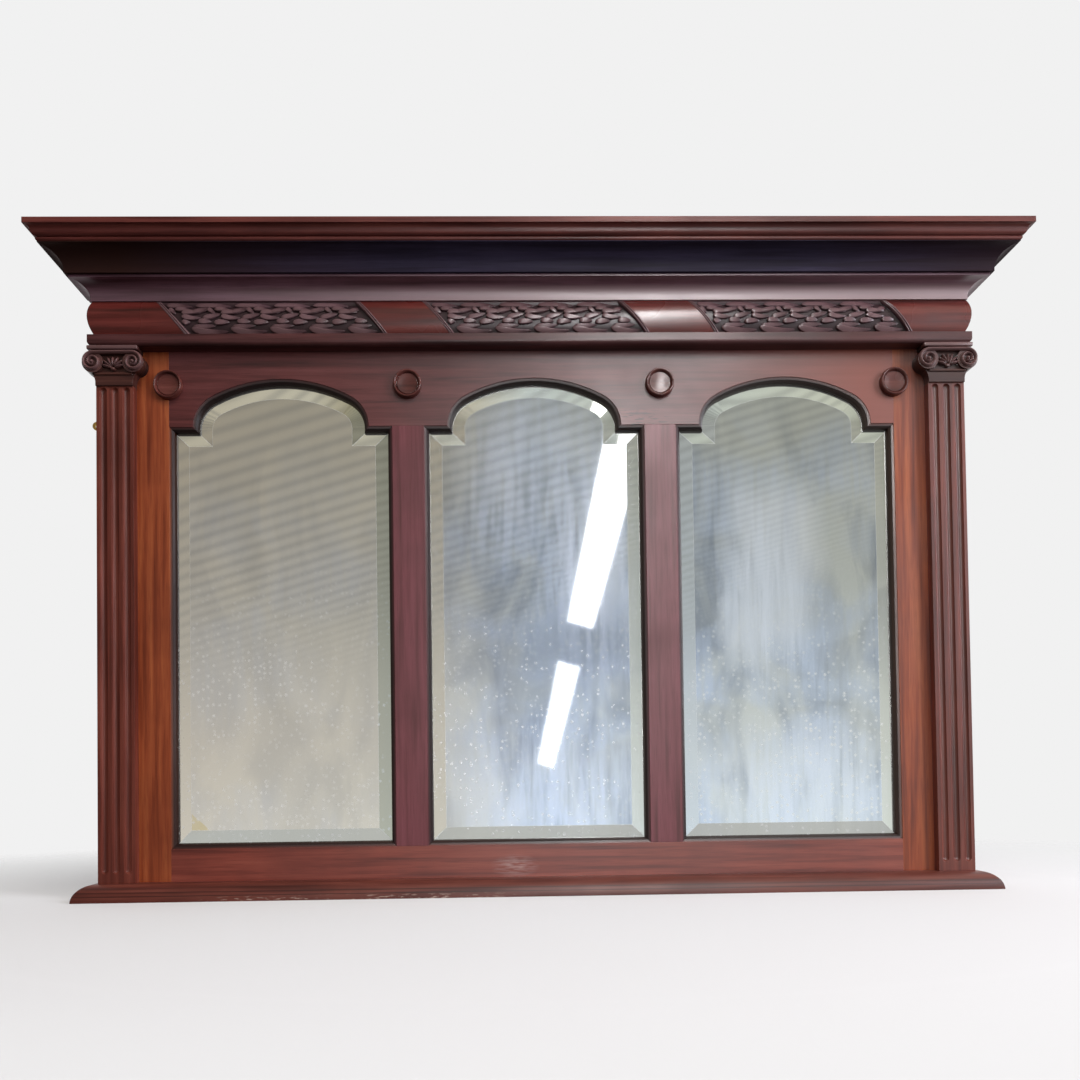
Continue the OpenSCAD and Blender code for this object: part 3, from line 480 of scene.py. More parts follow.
def chipped_foot(tree, place, wood):
    """Base moulding: its polish is chipped along the lower edge, where bare wood shows,
    and two painted shade lines along it stand in for quirks that the moulding lacks."""
    at = add(tree, "SeparateXYZ", {0: place}).outputs
    # Chips are 13 mm long and 2.6 mm high
    stretched = add(tree, "Mapping", {"Vector": place, "Scale": cells(13.333, 13.333, 2.6316)})
    chips = add(tree, "TexNoise", {"Vector": stretched, "Scale": 1.0, "Detail": 3.0})
    worn = add(tree, "MapRange", {0: chips, 1: 0.56, 2: 0.62})
    low = add(tree, "MapRange", {0: at["Z"], 1: 8.0 * MM, 2: 3.0 * MM})
    starts = add(tree, "MapRange", {0: at["X"], 1: -0.5, 2: -0.42})
    ends = add(tree, "MapRange", {0: at["X"], 1: 0.0, 2: -0.15, 4: 0.75})
    for share in (low, starts, ends):
        worn = add(tree, "Math", {0: worn, 1: share}, operation="MULTIPLY")
    chipped = add(tree, "Mix", {0: worn, 6: wood, 7: linear("#c8ab9a")}, data_type="RGBA")
    # Painted shade: two dark lines where a fuller moulding would have shaded quirks
    quirk_shade = 0.0
    for line in (8.5 * MM, 13.5 * MM):
        off = add(tree, "Math", {0: at["Z"], 1: line}, operation="SUBTRACT")
        off = add(tree, "Math", {0: off}, operation="ABSOLUTE")
        near = add(tree, "MapRange", {0: off, 1: 1.1 * MM, 2: 0.4 * MM, 4: 0.6})
        quirk_shade = add(tree, "Math", {0: quirk_shade, 1: near}, operation="MAXIMUM")
    return add(tree, "Mix", {0: quirk_shade, 6: chipped, 7: linear("#26120f")}, data_type="RGBA")


def brown_ends(tree, place, wood):
    """Cove: its ends are brown-black, and its middle keeps the cold, painted sheen of its tones."""
    at = add(tree, "SeparateXYZ", {0: place}).outputs
    left = add(tree, "MapRange", {0: at["X"], 1: -0.2, 2: -0.6})
    right = add(tree, "MapRange", {0: at["X"], 1: 0.4, 2: 0.75, 4: 0.8})
    ends = add(tree, "Math", {0: left, 1: right}, operation="MAXIMUM")
    return add(tree, "Mix", {0: ends, 6: wood, 7: linear("#38231f")}, data_type="RGBA")


def painted_highlight_bed(tree, place, wood):
    """Bed moulding: a pale painted highlight lies on its lower half, over the carving, most at the right.
    """
    at = add(tree, "SeparateXYZ", {0: place}).outputs
    low = add(tree, "MapRange", {0: at["Z"], 1: 0.903, 2: 0.895})
    rightwards = add(tree, "MapRange", {0: at["X"], 1: -0.5, 2: 0.1, 3: 0.1, 4: 0.8})
    # Painted highlight: pale on the lower half, strongest at the right
    rubbed = add(tree, "Math", {0: low, 1: rightwards}, operation="MULTIPLY")
    return add(tree, "Mix", {0: rubbed, 6: wood, 7: linear("#cfb0b0")}, data_type="RGBA")


def rub_tops(tree, proud, wood, ground):
    """Carving is dark in its ground, and paler where hands have rubbed its tops."""
    carving = add(tree, "Mix", {0: proud, 6: ground, 7: wood}, data_type="RGBA")
    tops = add(tree, "MapRange", {0: proud, 1: 0.75, 2: 1.0, 4: 0.45})
    return add(tree, "Mix", {0: tops, 6: carving, 7: linear("#8f6f70")}, data_type="RGBA")


def rubbed_laurel(tree, place, wood):
    """Carved frieze: the distance from the axis of the cushion tells leaf from ground."""
    at = add(tree, "SeparateXYZ", {0: place}).outputs
    back = add(tree, "Math", {0: FRIEZE_AXIS_Y * MM, 1: at["Y"]}, operation="SUBTRACT")
    rise = add(tree, "Math", {0: at["Z"], 1: FRIEZE_AXIS_Z * MM}, operation="SUBTRACT")
    spot = add(tree, "CombineXYZ", {0: back, 1: rise})
    reach = add(tree, "VectorMath", {0: spot}, operation="LENGTH")
    proud = add(tree, "MapRange", {0: reach, 1: 45.0 * MM, 2: 48.4 * MM})
    return rub_tops(tree, proud, wood, linear("#38272a"))


def rubbed_capital(tree, place, wood):
    """Capital: its tops are in front, and the plain neck below is evenly worn."""
    at = add(tree, "SeparateXYZ", {0: place}).outputs
    front = add(tree, "MapRange", {0: at["Y"], 1: 22.0 * MM, 2: 7.0 * MM})
    neck = add(tree, "MapRange", {0: at["Z"], 1: 779.0 * MM, 2: 775.0 * MM, 4: 0.72})
    proud = add(tree, "Math", {0: front, 1: neck}, operation="MAXIMUM")
    return rub_tops(tree, proud, wood, linear("#2b1b1a"))


# ---------- pine, plates and metal ----------


def old_softwood():
    """Pine, sawn and never finished: the eye sees dry, pale yellow-brown wood with
    brown growth rings and dirt in clouds."""
    material, tree = new_material("old_softwood")
    place = add(tree, "TexCoord").outputs["Object"]
    # Growth rings are 11 mm apart and run along the width
    stretched = add(tree, "Mapping", {"Vector": place, "Scale": cells(250.0, 6.25, 11.111)})
    rings = add(tree, "TexNoise", {"Vector": stretched, "Scale": 1.0, "Detail": 3.0})
    wood = add(tree, "ValToRGB", {0: rings}, stops=[(0.3, "#b58a58"), (0.52, "#a67c4c"), (0.72, "#7d5a36")])
    # Stains are 200 mm across
    stain = add(tree, "TexNoise", {"Vector": place, "Scale": cells(200.0), "Detail": 4.0})
    dirt = add(tree, "MapRange", {0: stain, 1: 0.35, 2: 0.7, 4: 0.6})
    dirty = add(tree, "Mix", {0: dirt, 6: wood, 7: linear("#6f5138")}, data_type="RGBA")
    ridges = add(tree, "Bump", {"Height": rings, "Strength": 0.3, "Distance": 0.4 * MM})
    shader = add(tree, "BsdfPrincipled", {"Base Color": dirty, "Roughness": 0.82, "Normal": ridges})
    add(tree, "OutputMaterial", {0: shader})
    return material


def glass_patterns(tree, place):
    """Smoke in the silver, strokes of the cloth, and patches of film and dust."""
    # Smoke drifts in clouds 77 mm wide and 180 mm long
    drifted = add(
        tree,
        "Mapping",
        {"Vector": place, "Rotation": (0.0, -0.5, 0.0), "Scale": cells(76.923, 76.923, 181.82)},
    )
    smoke = add(
        tree,
        "TexNoise",
        {"Vector": drifted, "Scale": 1.0, "Detail": 4.0, "Roughness": 0.5, "Distortion": 0.9},
    )
    # Wiped strokes are 12 mm wide and 170 mm long
    brushed = add(
        tree,
        "Mapping",
        {"Vector": place, "Rotation": (0.0, 0.16, 0.0), "Scale": cells(11.765, 100.0, 166.67)},
    )
    strokes = add(
        tree,
        "TexNoise",
        {"Vector": brushed, "Scale": 1.0, "Detail": 4.0, "Roughness": 0.6, "Distortion": 0.5},
    )
    # Patches of film and dust are 118 mm across
    patches = add(
        tree,
        "TexNoise",
        {"Vector": place, "Scale": cells(117.65), "Detail": 3.0, "Roughness": 0.5, "Distortion": 0.6},
    )
    return smoke, strokes, patches


def mark_bevels(tree, at):
    """Where the bevels are, which one gets a darker painted reflection, at the right of
    the left plate, and the arrises, which catch the light as fine pale lines."""
    flat = add(tree, "NewGeometry").outputs["Normal"]
    tilt = add(tree, "SeparateXYZ", {0: flat}).outputs
    bevel = add(tree, "MapRange", {0: tilt["Y"], 1: -0.998, 2: -0.995})
    right_bevel = add(tree, "MapRange", {0: tilt["X"], 1: 0.02, 2: 0.05})
    left_plate = add(tree, "MapRange", {0: at["X"], 1: -0.15, 2: -0.2})
    dim_bevel_reflection = add(tree, "Math", {0: right_bevel, 1: left_plate}, operation="MULTIPLY")
    rounded = add(tree, "Bevel", {"Radius": 1.8 * MM}, samples=8)
    turned = add(tree, "VectorMath", {0: rounded, 1: flat}, operation="DOT_PRODUCT")
    arris = add(tree, "MapRange", {0: turned, 1: 0.9998, 2: 0.9986, 4: 0.9})
    return bevel, dim_bevel_reflection, arris


def worn_corner(tree, at, patches):
    """Silvering has worn away in a ragged corner of about 27 mm, at the foot of the left
    plate inside its bevel."""
    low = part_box("mirror_left")[0]
    left, foot = low[0] + BEVEL * MM, low[2] + BEVEL * MM
    edge = left + foot + 33.0 * MM
    diagonal = add(tree, "Math", {0: at["X"], 1: at["Z"]}, operation="ADD")
    ragged = add(tree, "Math", {0: patches, 1: 12.0 * MM, 2: diagonal}, operation="MULTIPLY_ADD")
    worn = add(tree, "MapRange", {0: ragged, 1: edge + MM, 2: edge - MM, 4: 0.85})
    right_of = add(tree, "MapRange", {0: at["X"], 1: left, 2: left + MM})
    above = add(tree, "MapRange", {0: at["Z"], 1: foot, 2: foot + MM})
    inside = add(tree, "Math", {0: right_of, 1: above}, operation="MULTIPLY")
    return add(tree, "Math", {0: worn, 1: inside}, operation="MULTIPLY")


def thick_film(tree, place, strokes):
    """Thick blue film lies in five ovals, each with its middle, its half sizes and its
    share, and was wiped down in strokes."""
    heavy = 0.0
    for middle, half_sizes, most in (
        ((0.085, 0.5), (0.085, 0.24), 1.0),
        ((0.345, 0.46), (0.075, 0.17), 1.0),
        ((0.0, 0.64), (0.13, 0.16), 0.7),
        ((0.03, 0.14), (0.17, 0.13), 0.7),
        ((0.4, 0.14), (0.17, 0.13), 0.7),
    ):
        reach = patch(tree, place, middle, half_sizes)
        near = add(tree, "MapRange", {0: reach, 1: 1.1, 2: 0.4, 4: most})
        heavy = add(tree, "Math", {0: heavy, 1: near}, operation="MAXIMUM")
    stroked = add(tree, "MapRange", {0: strokes, 1: 0.34, 2: 0.6, 3: 0.3, 4: 1.0})
    return add(tree, "Math", {0: heavy, 1: stroked}, operation="MULTIPLY")


def wiped_blocks(tree, at, patches):
    """Two overlapping blocks on the right plate were wiped with a wet cloth. Their edges
    wander by some 15 mm."""
    wobble = add(tree, "Math", {0: patches, 1: 0.07, 2: -0.035}, operation="MULTIPLY_ADD")
    side = add(tree, "Math", {0: at["X"], 1: wobble}, operation="ADD")
    level = add(tree, "Math", {0: at["Z"], 1: wobble}, operation="SUBTRACT")
    blocks = 0.0
    for left, right, low, high in ((0.305, 0.425, 0.42, 0.6), (0.275, 0.42, 0.36, 0.45)):
        after_left = add(tree, "MapRange", {0: side, 1: left - 0.01, 2: left + 0.01})
        before_right = add(tree, "MapRange", {0: side, 1: right + 0.02, 2: right - 0.02})
        over_low = add(tree, "MapRange", {0: level, 1: low - 0.03, 2: low + 0.02})
        under_high = add(tree, "MapRange", {0: level, 1: high + 0.03, 2: high - 0.02})
        across = add(tree, "Math", {0: after_left, 1: before_right}, operation="MULTIPLY")
        upright = add(tree, "Math", {0: over_low, 1: under_high}, operation="MULTIPLY")
        block = add(tree, "Math", {0: across, 1: upright}, operation="MULTIPLY")
        blocks = add(tree, "Math", {0: blocks, 1: block}, operation="MAXIMUM")
    return blocks


def dust(tree, place, at, patches):
    """Pale specks about 3 mm wide, in cells of 8 mm, lie thicker towards the foot."""
    specks = add(tree, "TexVoronoi", {"Vector": place, "Scale": cells(7.6923)}).outputs
    chance = add(tree, "SeparateXYZ", {0: specks["Color"]}).outputs["X"]
    speck = add(tree, "MapRange", {0: specks["Distance"], 1: 0.42, 2: 0.12})
    size = add(tree, "MapRange", {0: chance, 1: 0.15, 2: 0.7})
    swarm = add(tree, "MapRange", {0: patches, 1: 0.35, 2: 0.55, 3: 0.4, 4: 1.0})
    low = add(tree, "MapRange", {0: at["Z"], 1: 0.55, 2: 0.25, 4: 0.8})
    for share in (size, swarm, low):
        speck = add(tree, "Math", {0: speck, 1: share}, operation="MULTIPLY")
    return speck


def silvered_plate():
    """Plate glass, ground with a wide bevel and silvered: the eye sees a smoky grey
    mirror under a thin, bluish film that was wiped in upright strokes, pale specks of
    dust, clear bevels with fine pale arrises, and a worn yellow corner."""
    material, tree = new_material("silvered_plate")
    place = add(tree, "TexCoord").outputs["Object"]
    at = add(tree, "SeparateXYZ", {0: place}).outputs
    smoke, strokes, patches = glass_patterns(tree, place)
    bevel, dim_bevel_reflection, arris = mark_bevels(tree, at)

    # Smoke and film are thin on the left plate and at the top of each arch
    rightwards = add(tree, "MapRange", {0: at["X"], 1: -0.25, 2: 0.0, 3: 0.3, 4: 1.0})
    under_arch = add(tree, "MapRange", {0: at["Z"], 1: 0.74, 2: 0.55, 3: 0.2, 4: 1.0})
    where = add(tree, "Math", {0: rightwards, 1: under_arch}, operation="MULTIPLY")
    smoky = add(tree, "MapRange", {0: smoke, 1: 0.62, 2: 0.36})
    dim = add(tree, "Math", {0: smoky, 1: where}, operation="MULTIPLY")
    patchy = add(tree, "MapRange", {0: patches, 1: 0.4, 2: 0.66})
    stroked = add(tree, "MapRange", {0: strokes, 1: 0.3, 2: 0.65, 3: 0.4, 4: 1.0})
    film = add(tree, "Math", {0: patchy, 1: stroked}, operation="MULTIPLY")
    thin = add(tree, "Math", {0: film, 1: where}, operation="MULTIPLY")
    thick = thick_film(tree, place, strokes)
    blocks = wiped_blocks(tree, at, patches)
    wiped = add(tree, "Math", {0: blocks, 1: 0.45}, operation="MULTIPLY")
    # A darker, smoky patch under the middle of the middle plate
    reach = patch(tree, place, (0.06, 0.37), (0.2, 0.08))
    smoked = add(tree, "MapRange", {0: reach, 1: 1.1, 2: 0.3, 4: 0.4})

    # Dust, and the little light that bevels and arrises catch
    bright = add(tree, "Math", {0: bevel, 1: 0.12}, operation="MULTIPLY")
    pale = dust(tree, place, at, patches)
    for share in (bright, arris):
        pale = add(tree, "Math", {0: pale, 1: share}, operation="MAXIMUM")

    # From the silver outwards, each layer with its share
    colour = linear("#dcdcd8")
    for share, code in (
        (dim, "#a6abb4"),
        (worn_corner(tree, at, patches), "#d4cba8"),
        (thin, "#d0daec"),
        (thick, "#eef3ff"),
        (wiped, "#f4f8ff"),
        (smoked, "#80889a"),
        (bevel, "#dcdcd5"),
        # Painted reflection: the right bevel of the left plate is darker and yellower
        (dim_bevel_reflection, "#b3ad97"),
        (pale, "#f4f6f4"),
    ):
        colour = add(tree, "Mix", {0: share, 6: colour, 7: linear(code)}, data_type="RGBA")

    # Film and dust lie on the glass, and hide a little of the mirror; so does the painted light of bevels
    # and arrises
    film = thin
    for share in (thick, blocks):
        film = add(tree, "Math", {0: film, 1: share}, operation="MAXIMUM")
    veil = add(tree, "MapRange", {0: film, 4: 0.2})
    dust_and_glints = add(tree, "MapRange", {0: pale, 4: 0.75})
    hidden = add(tree, "Math", {0: veil, 1: dust_and_glints}, operation="MAXIMUM")
    metal = add(tree, "MapRange", {0: hidden, 3: 1.0, 4: 0.0})
    shader = add(tree, "BsdfPrincipled", {"Base Color": colour, "Metallic": metal, "Roughness": 0.035})
    add(tree, "OutputMaterial", {0: shader})
    return material


def dulled_metal(name, code, rough):
    """Rolled or turned metal, long dulled: the eye sees a soft shine with brown tarnish
    in spots."""
    material, tree = new_material(name)
    place = add(tree, "TexCoord").outputs["Object"]
    # Spots of tarnish are 7 mm across
    spots = add(tree, "TexNoise", {"Vector": place, "Scale": cells(6.6667), "Detail": 3.0})
    tarnish = add(tree, "MapRange", {0: spots, 1: 0.4, 2: 0.7, 4: 0.5})
    bare, brown = linear(code), linear("#4a4338")
    colour = add(tree, "Mix", {0: tarnish, 6: bare, 7: brown}, data_type="RGBA")
    shader = add(tree, "BsdfPrincipled", {"Base Color": colour, "Metallic": 1.0, "Roughness": rough})
    add(tree, "OutputMaterial", {0: shader})
    return material


# ---------- carved and turned pieces ----------


def make_object(name, shape, material):
    """Turns a bmesh into a smooth-shaded object with sharp arrises."""
    mesh = bpy.data.meshes.new(name)
    shape.to_mesh(mesh)
    shape.free()
    mesh.shade_smooth()
    mesh.set_sharp_from_angle(angle=math.radians(38.0))
    mesh.materials.append(material)
    made = bpy.data.objects.new(name, mesh)
    bpy.context.scene.collection.objects.link(made)
    return made


def stand_in(name, node, shape, material):
    """Shows a shape that was made in millimetres in place of a plain node."""
    bmesh.ops.scale(shape, vec=(MM, MM, MM), verts=shape.verts[:])
    bmesh.ops.recalc_face_normals(shape, faces=shape.faces[:])
    piece = make_object(name, shape, material)
    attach(piece, "root")
    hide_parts(node)


def put(shape, verts, place, size=(1.0, 1.0, 1.0), turn=Matrix.Identity(3)):
    """Turns new points about the origin, scales them, and moves them into place."""
    bmesh.ops.rotate(shape, cent=(0, 0, 0), matrix=turn, verts=verts)
    bmesh.ops.scale(shape, vec=size, verts=verts)
    bmesh.ops.translate(shape, vec=place, verts=verts)


def pull_back(shape):
    """Extrudes a front straight back to the face of the frame."""
    grown = bmesh.ops.extrude_face_region(shape, geom=shape.faces[:])["geom"]
    for item in grown:
        if isinstance(item, bmesh.types.BMVert):
            item.co.y = FRAME_FACE


def on_cushion(x, z, proud):
    """A point of the cushion frieze, or proud of its face."""
    angle = math.asin((z - FRIEZE_AXIS_Z) / FRIEZE_R)
    reach = FRIEZE_R + proud
    return Vector((x, FRIEZE_AXIS_Y - reach * math.cos(angle), FRIEZE_AXIS_Z + reach * math.sin(angle)))


def lean(z):
    """How far the leaning ends of a carved length lie to the right at a height."""
    return CARVED_LEAN * (0.5 - (z - FRIEZE_Z) / (BED_Z - FRIEZE_Z))


def laurel_leaf(shape, start, bend, end, width, proud):
    """One leaf: a raised blunt tip that dives under the next leaf."""
    body = bmesh.ops.create_uvsphere(shape, u_segments=8, v_segments=8, radius=1.0)["verts"]
    for vert in body:
        t = 0.5 - vert.co.z / 2
        before, after = start.lerp(bend, t), bend.lerp(end, t)
        along = (after - before).normalized()
        side = Vector((-along.y, along.x))
        # The leaf is broadest at its start and keeps a shallow vein along its top
        narrow = 1.62 * (1.0 - 0.42 * t) / 2
        top = vert.co.y * (0.82 if abs(vert.co.x) < 0.1 else 1.0)
        lift = 0.88 * proud * (0.35 + 0.65 * top) * (1.0 - 0.5 * t)
        flat = before.lerp(after, t) + side * vert.co.x * width * narrow
        flat.y = min(max(flat.y, FRIEZE_Z + 0.6), BED_Z - 0.6)
        vert.co = on_cushion(flat.x, flat.y, GROUND + lift + 0.2 * (1.0 - t))


def carve_frieze(side):
    """A leaning length of cushion frieze, carved with laurel between two ribbons."""
    centre = CARVED_X[side]
    columns = RIBBON + [(along, GROUND) for along in range(20, 290, 15)]
    columns += [(CARVED_LONG - along, proud) for along, proud in reversed(RIBBON)]
    shape = bmesh.new()
    bmesh.ops.create_grid(shape, x_segments=len(columns) - 1, y_segments=16, size=1.0)
    for vert in shape.verts:
        along, proud = columns[round((vert.co.x + 1) / 2 * (len(columns) - 1))]
        share = (vert.co.y + 1) / 2
        # The ground rises to a thin border along the foot and the top
        if share in (0.0, 1.0):
            proud = max(proud, -1.5)
        z = FRIEZE_Z + share * (BED_Z - FRIEZE_Z)
        vert.co = on_cushion(centre - CARVED_LONG / 2 + along + lean(z), z, proud)
        vert.co.z = min(max(vert.co.z, FRIEZE_Z), BED_Z)
    pull_back(shape)
    reach = CARVED_LONG / 2 - RIBBON_WIDE
    for repeat in range(-1, 6):
        origin = centre + LAUREL_START + repeat * LAUREL_PITCH
        for *points, width, proud in LAUREL:
            start, bend, end = [Vector((origin + along, height)) for along, height in points]
            # Leaves that meet a ribbon are cut short, and scraps are left out
            start.x = max(start.x, centre - reach + lean(start.y))
            end.x = min(end.x, centre + reach + lean(end.y))
            length = end.x - start.x
            if length < SHORTEST_LEAF:
                continue
            bend.x = min(max(bend.x, start.x + 0.2 * length), end.x - 0.2 * length)
            laurel_leaf(shape, start, bend, end, width, proud)
    stand_in("laurel_frieze_" + side, "carved_frieze_" + side, shape, mahogany["carved"])


def sweep(shape, stations):
    """Draws a round section along a path in the x-z plane. Each station is its
    x, y, z, the turn of the path, half its thickness and half its depth."""
    verts = bmesh.ops.create_circle(shape, segments=12, radius=1.0)["verts"]
    rim = list({edge for vert in verts for edge in vert.link_edges})
    before = Matrix.Identity(4)
    everything = list(verts)
    for number, (x, y, z, turn, thick, deep) in enumerate(stations):
        after = (
            Matrix.Translation((x, y, z))
            @ Matrix.Rotation(-turn, 4, "Y")
            @ Matrix.Rotation(math.pi / 2, 4, "Y")
            @ Matrix.Diagonal((thick, deep, 1.0, 1.0))
        )
        if number:
            grown = bmesh.ops.extrude_edge_only(shape, edges=rim)["geom"]
            verts = [item for item in grown if isinstance(item, bmesh.types.BMVert)]
            edges = [item for item in grown if isinstance(item, bmesh.types.BMEdge)]
            rim = [edge for edge in edges if all(vert in verts for vert in edge.verts)]
            everything += verts
        bmesh.ops.transform(shape, matrix=after @ before.inverted(), verts=verts)
        before = after
    open_edges = {edge for vert in everything for edge in vert.link_edges if edge.is_boundary}
    bmesh.ops.holes_fill(shape, edges=list(open_edges))


def carve_volute(shape, centre, way):
    """Half of a capital's front: a round ground, the band that runs out along the top
    and curls in over it, and the eye in its middle."""
    middle = centre + way * VOLUTE_X
    disc = bmesh.ops.create_cone(
        shape,
        cap_ends=True,
        segments=40,
        radius1=VOLUTE_R,
        radius2=VOLUTE_R,
        depth=1.0,
    )["verts"]
    place = (middle, (FRAME_FACE + VOLUTE_Y) / 2, VOLUTE_Z)
    turn = Matrix.Rotation(math.pi / 2, 3, "X")
    put(shape, disc, place, (1.0, FRAME_FACE - VOLUTE_Y, 1.0), turn)
    stations = [(x, VOLUTE_Z + CURL_R, BAND_THICK, 0.0) for x in (0.0, 8.0, 16.0, 23.0)]
    steps = 44
    for step in range(steps + 1):
        angle = CURL_TURNS * 2 * math.pi * step / steps
        radius = CURL_R - CURL_LOSS * (step / steps) ** 0.85
        x, z = VOLUTE_X + radius * math.sin(angle), VOLUTE_Z + radius * math.cos(angle)
        stations.append((x, z, BAND_THICK - BAND_LOSS * step / steps, -angle))
    path = []
    for x, z, thick, turn in stations:
        turn = turn if way > 0 else math.pi - turn
        path.append((centre + way * x, BAND_Y, z, turn, thick, BAND_DEEP))
    sweep(shape, path)
    eye = bmesh.ops.create_uvsphere(shape, u_segments=16, v_segments=10, radius=EYE_R)["verts"]
    put(shape, eye, (middle, EYE_Y, VOLUTE_Z), (1.0, 1.6, 1.0))


def carve_fan(shape, centre):
    """Fan of leaves over a small husk, between the volutes."""
    for angle, length in FAN:
        leaf = bmesh.ops.create_uvsphere(shape, u_segments=8, v_segments=8, radius=1.0)["verts"]
        put(shape, leaf, (0.0, 0.0, length / 2 + 2.0), (FAN_WIDE, FAN_DEEP, length / 2))
        turn = Matrix.Rotation(math.radians(angle), 3, "Y")
        put(shape, leaf, (centre, FAN_Y, FAN_Z), turn=turn)
    husk = bmesh.ops.create_uvsphere(shape, u_segments=12, v_segments=8, radius=HUSK_R)["verts"]
    put(shape, husk, (centre, HUSK_Y, HUSK_Z), (1.3, 1.2, 1.0))


def carve_capital(side):
    """Ionic capital: a band that runs along the top and curls into a volute at each
    end, over a flared neck, with a fan of leaves between the volutes."""
    centre = CAPITAL_X[side]
    shape = bmesh.new()
    block = bmesh.ops.create_grid(shape, x_segments=1, y_segments=len(CAPITAL) - 1, size=1.0)
    for vert in block["verts"]:
        reach, z = CAPITAL[round((vert.co.y + 1) / 2 * (len(CAPITAL) - 1))]
        vert.co = Vector((centre + reach * vert.co.x, CAPITAL_Y, z))
    pull_back(shape)
    # Thin abacus over the band
    slab = bmesh.ops.create_cube(shape, size=1.0)["verts"]
    place = (centre, (FRAME_FACE + ABACUS_Y) / 2, CAPITAL[-1][1] - ABACUS_HIGH / 2)
    put(shape, slab, place, (ABACUS_WIDE, FRAME_FACE - ABACUS_Y, ABACUS_HIGH))
    edges = list({edge for vert in slab for edge in vert.link_edges})
    bmesh.ops.bevel(
        shape,
        geom=edges,
        offset=ABACUS_ROUND,
        segments=3,
        affect="EDGES",
        profile=0.5,
        material=-1,
    )
    for way in (-1, 1):
        carve_volute(shape, centre, way)
    carve_fan(shape, centre)
    bead = bmesh.ops.create_cone(
        shape,
        cap_ends=True,
        segments=20,
        radius1=BEAD_R,
        radius2=BEAD_R,
        depth=BEAD_LONG,
    )["verts"]
    put(shape, bead, (centre, BEAD_Y, BEAD_Z), turn=Matrix.Rotation(math.pi / 2, 3, "Y"))
    stand_in("ionic_capital_" + side, "capital_" + side, shape, mahogany["capital"])


def turn_roundel(node):
    """Turned roundel: a slightly dished disc, a groove and a rounded rim."""
    low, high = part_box(node)
    x, z = [(low[axis] + high[axis]) / 2 / MM for axis in (0, 2)]
    shape = bmesh.new()
    bmesh.ops.create_grid(shape, x_segments=1, y_segments=len(ROUNDEL) - 1, size=1.0)
    spare = [vert for vert in shape.verts if vert.co.x > 0]
    bmesh.ops.delete(shape, geom=spare, context="VERTS")
    for vert in shape.verts:
        reach, proud = ROUNDEL[round((vert.co.y + 1) / 2 * (len(ROUNDEL) - 1))]
        vert.co = Vector((x + reach, FRAME_FACE - proud, z))
    bmesh.ops.spin(
        shape,
        geom=shape.edges[:] + shape.verts[:],
        cent=(x, 0, z),
        axis=(0, 1, 0),
        angle=2 * math.pi,
        steps=64,
        use_merge=True,
    )
    bmesh.ops.remove_doubles(shape, verts=shape.verts[:], dist=0.0005)
    stand_in("turned_" + node, node, shape, mahogany["turned"])


# ---------- the scene ----------

place_camera()
light_world()
light_lamps()
lay_floor()

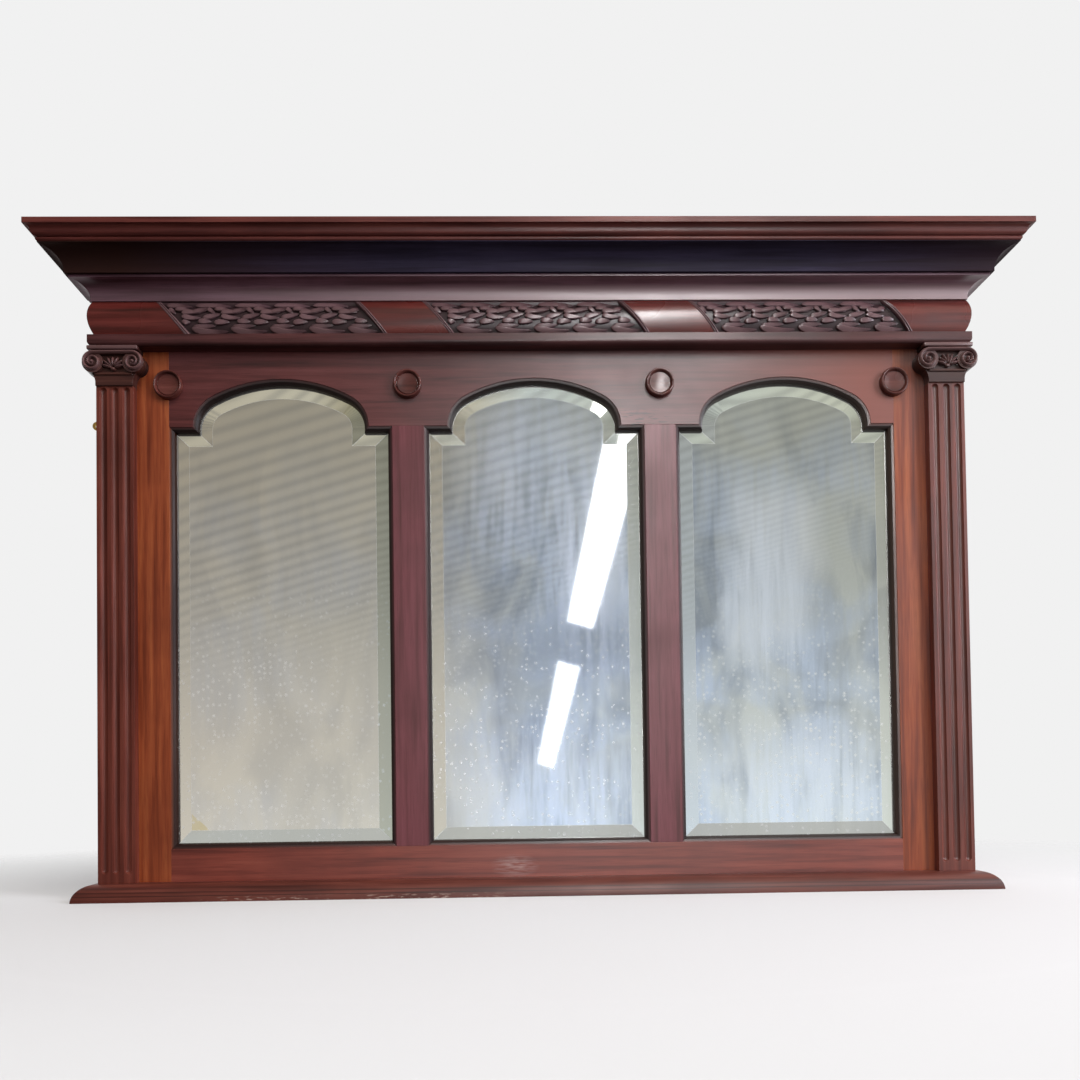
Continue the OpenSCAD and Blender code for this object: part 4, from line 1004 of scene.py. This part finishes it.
# Mahogany of each group of pieces: grain, tones from dark to pale, shift of the
# figure, roughness of the polish, marks of its own and strength of the shine
MAHOGANY = {
    # Orange-brown, where the polish is thin
    "upright": ("Z", ("#642716", "#a14e2d", "#bf6a3e"), 0.0, 0.36, ovolo_shade_and_dirt),
    # Plum-coloured between the plates
    "muntin": ("Z", ("#542526", "#7b3f45", "#8a4b53"), 1.0, 0.38, ovolo_shade_and_dirt, 0.42),
    "pilaster": ("Z", ("#4a2019", "#75382c", "#904d3f"), 2.0, 0.36),
    "top_rail": ("X", ("#3c1a19", "#64302f", "#773f3e"), 3.0, 0.42, painted_light_right_end, 0.6),
    "bottom_rail": ("X", ("#5a241c", "#8e4234", "#a45544"), 3.5, 0.38, painted_sheen_rail, 0.7),
    "base": ("X", ("#45201a", "#6b362c", "#80473b"), 3.7, 0.4, chipped_foot, 0.4),
    # Redder and glossier than the rest
    "frieze": ("X", ("#401814", "#702d28", "#8a3f37"), 4.0, 0.26, None, 0.68),
    "turned": ("X", ("#3f1f1d", "#65352f", "#7c463f"), 6.0, 0.24),
    "crown": ("X", ("#421d1a", "#713832", "#884a41"), 7.0, 0.42, None, 0.3),
    "astragal": ("X", ("#2d1617", "#532d2d", "#6a3e3e"), 7.5, 0.34, None, 0.45),
    # The plum-grey of the bed and the cold, nearly black blue of the cove are painted sheen, the cove's in
    # place of nearly all its shine
    "bed": ("X", ("#4a2a32", "#77505d", "#8c6473"), 7.2, 0.4, painted_highlight_bed, 0.8),
    "cove": ("X", ("#2b2431", "#3a3347", "#463e54"), 9.0, 0.5, brown_ends, 0.06),
    "carved": ("X", ("#482f31", "#6c4d51", "#836268"), 5.0, 0.28, rubbed_laurel, 0.4),
    "capital": ("X", ("#3a1f1b", "#5a342d", "#70453b"), 8.0, 0.28, rubbed_capital),
}
mahogany = {name: french_polished_mahogany(name, *look) for name, look in MAHOGANY.items()}
softwood = old_softwood()
brass = dulled_metal("dull_brass", "#a98a4c", 0.42)
steel = dulled_metal("dull_steel", "#8e8c86", 0.45)

# Material of every node, by how its name starts. The last line takes the rest
DRESS = [
    ("backboard_screws", steel),
    ("pilaster_screws", steel),
    ("cornice_screws", steel),
    ("wall_plate", brass),
    ("backboard_", softwood),
    ("dust_", softwood),
    ("mirror_", silvered_plate()),
    ("stile", mahogany["upright"]),
    ("muntin", mahogany["muntin"]),
    ("top_rail", mahogany["top_rail"]),
    ("bottom_rail", mahogany["bottom_rail"]),
    ("base_", mahogany["base"]),
    ("astragal", mahogany["astragal"]),
    ("pilaster_", mahogany["pilaster"]),
    ("bed_", mahogany["bed"]),
    ("crown_", mahogany["crown"]),
    ("cove_", mahogany["cove"]),
    ("", mahogany["frieze"]),
]
for name in cad:
    slots = cad[name].data.materials
    slots.clear()
    slots.append(next(material for start, material in DRESS if name.startswith(start)))

for side in CARVED_X:
    carve_frieze(side)
for which in ("outer_left", "inner_left", "inner_right", "outer_right"):
    turn_roundel("roundel_" + which)
for side in CAPITAL_X:
    carve_capital(side)
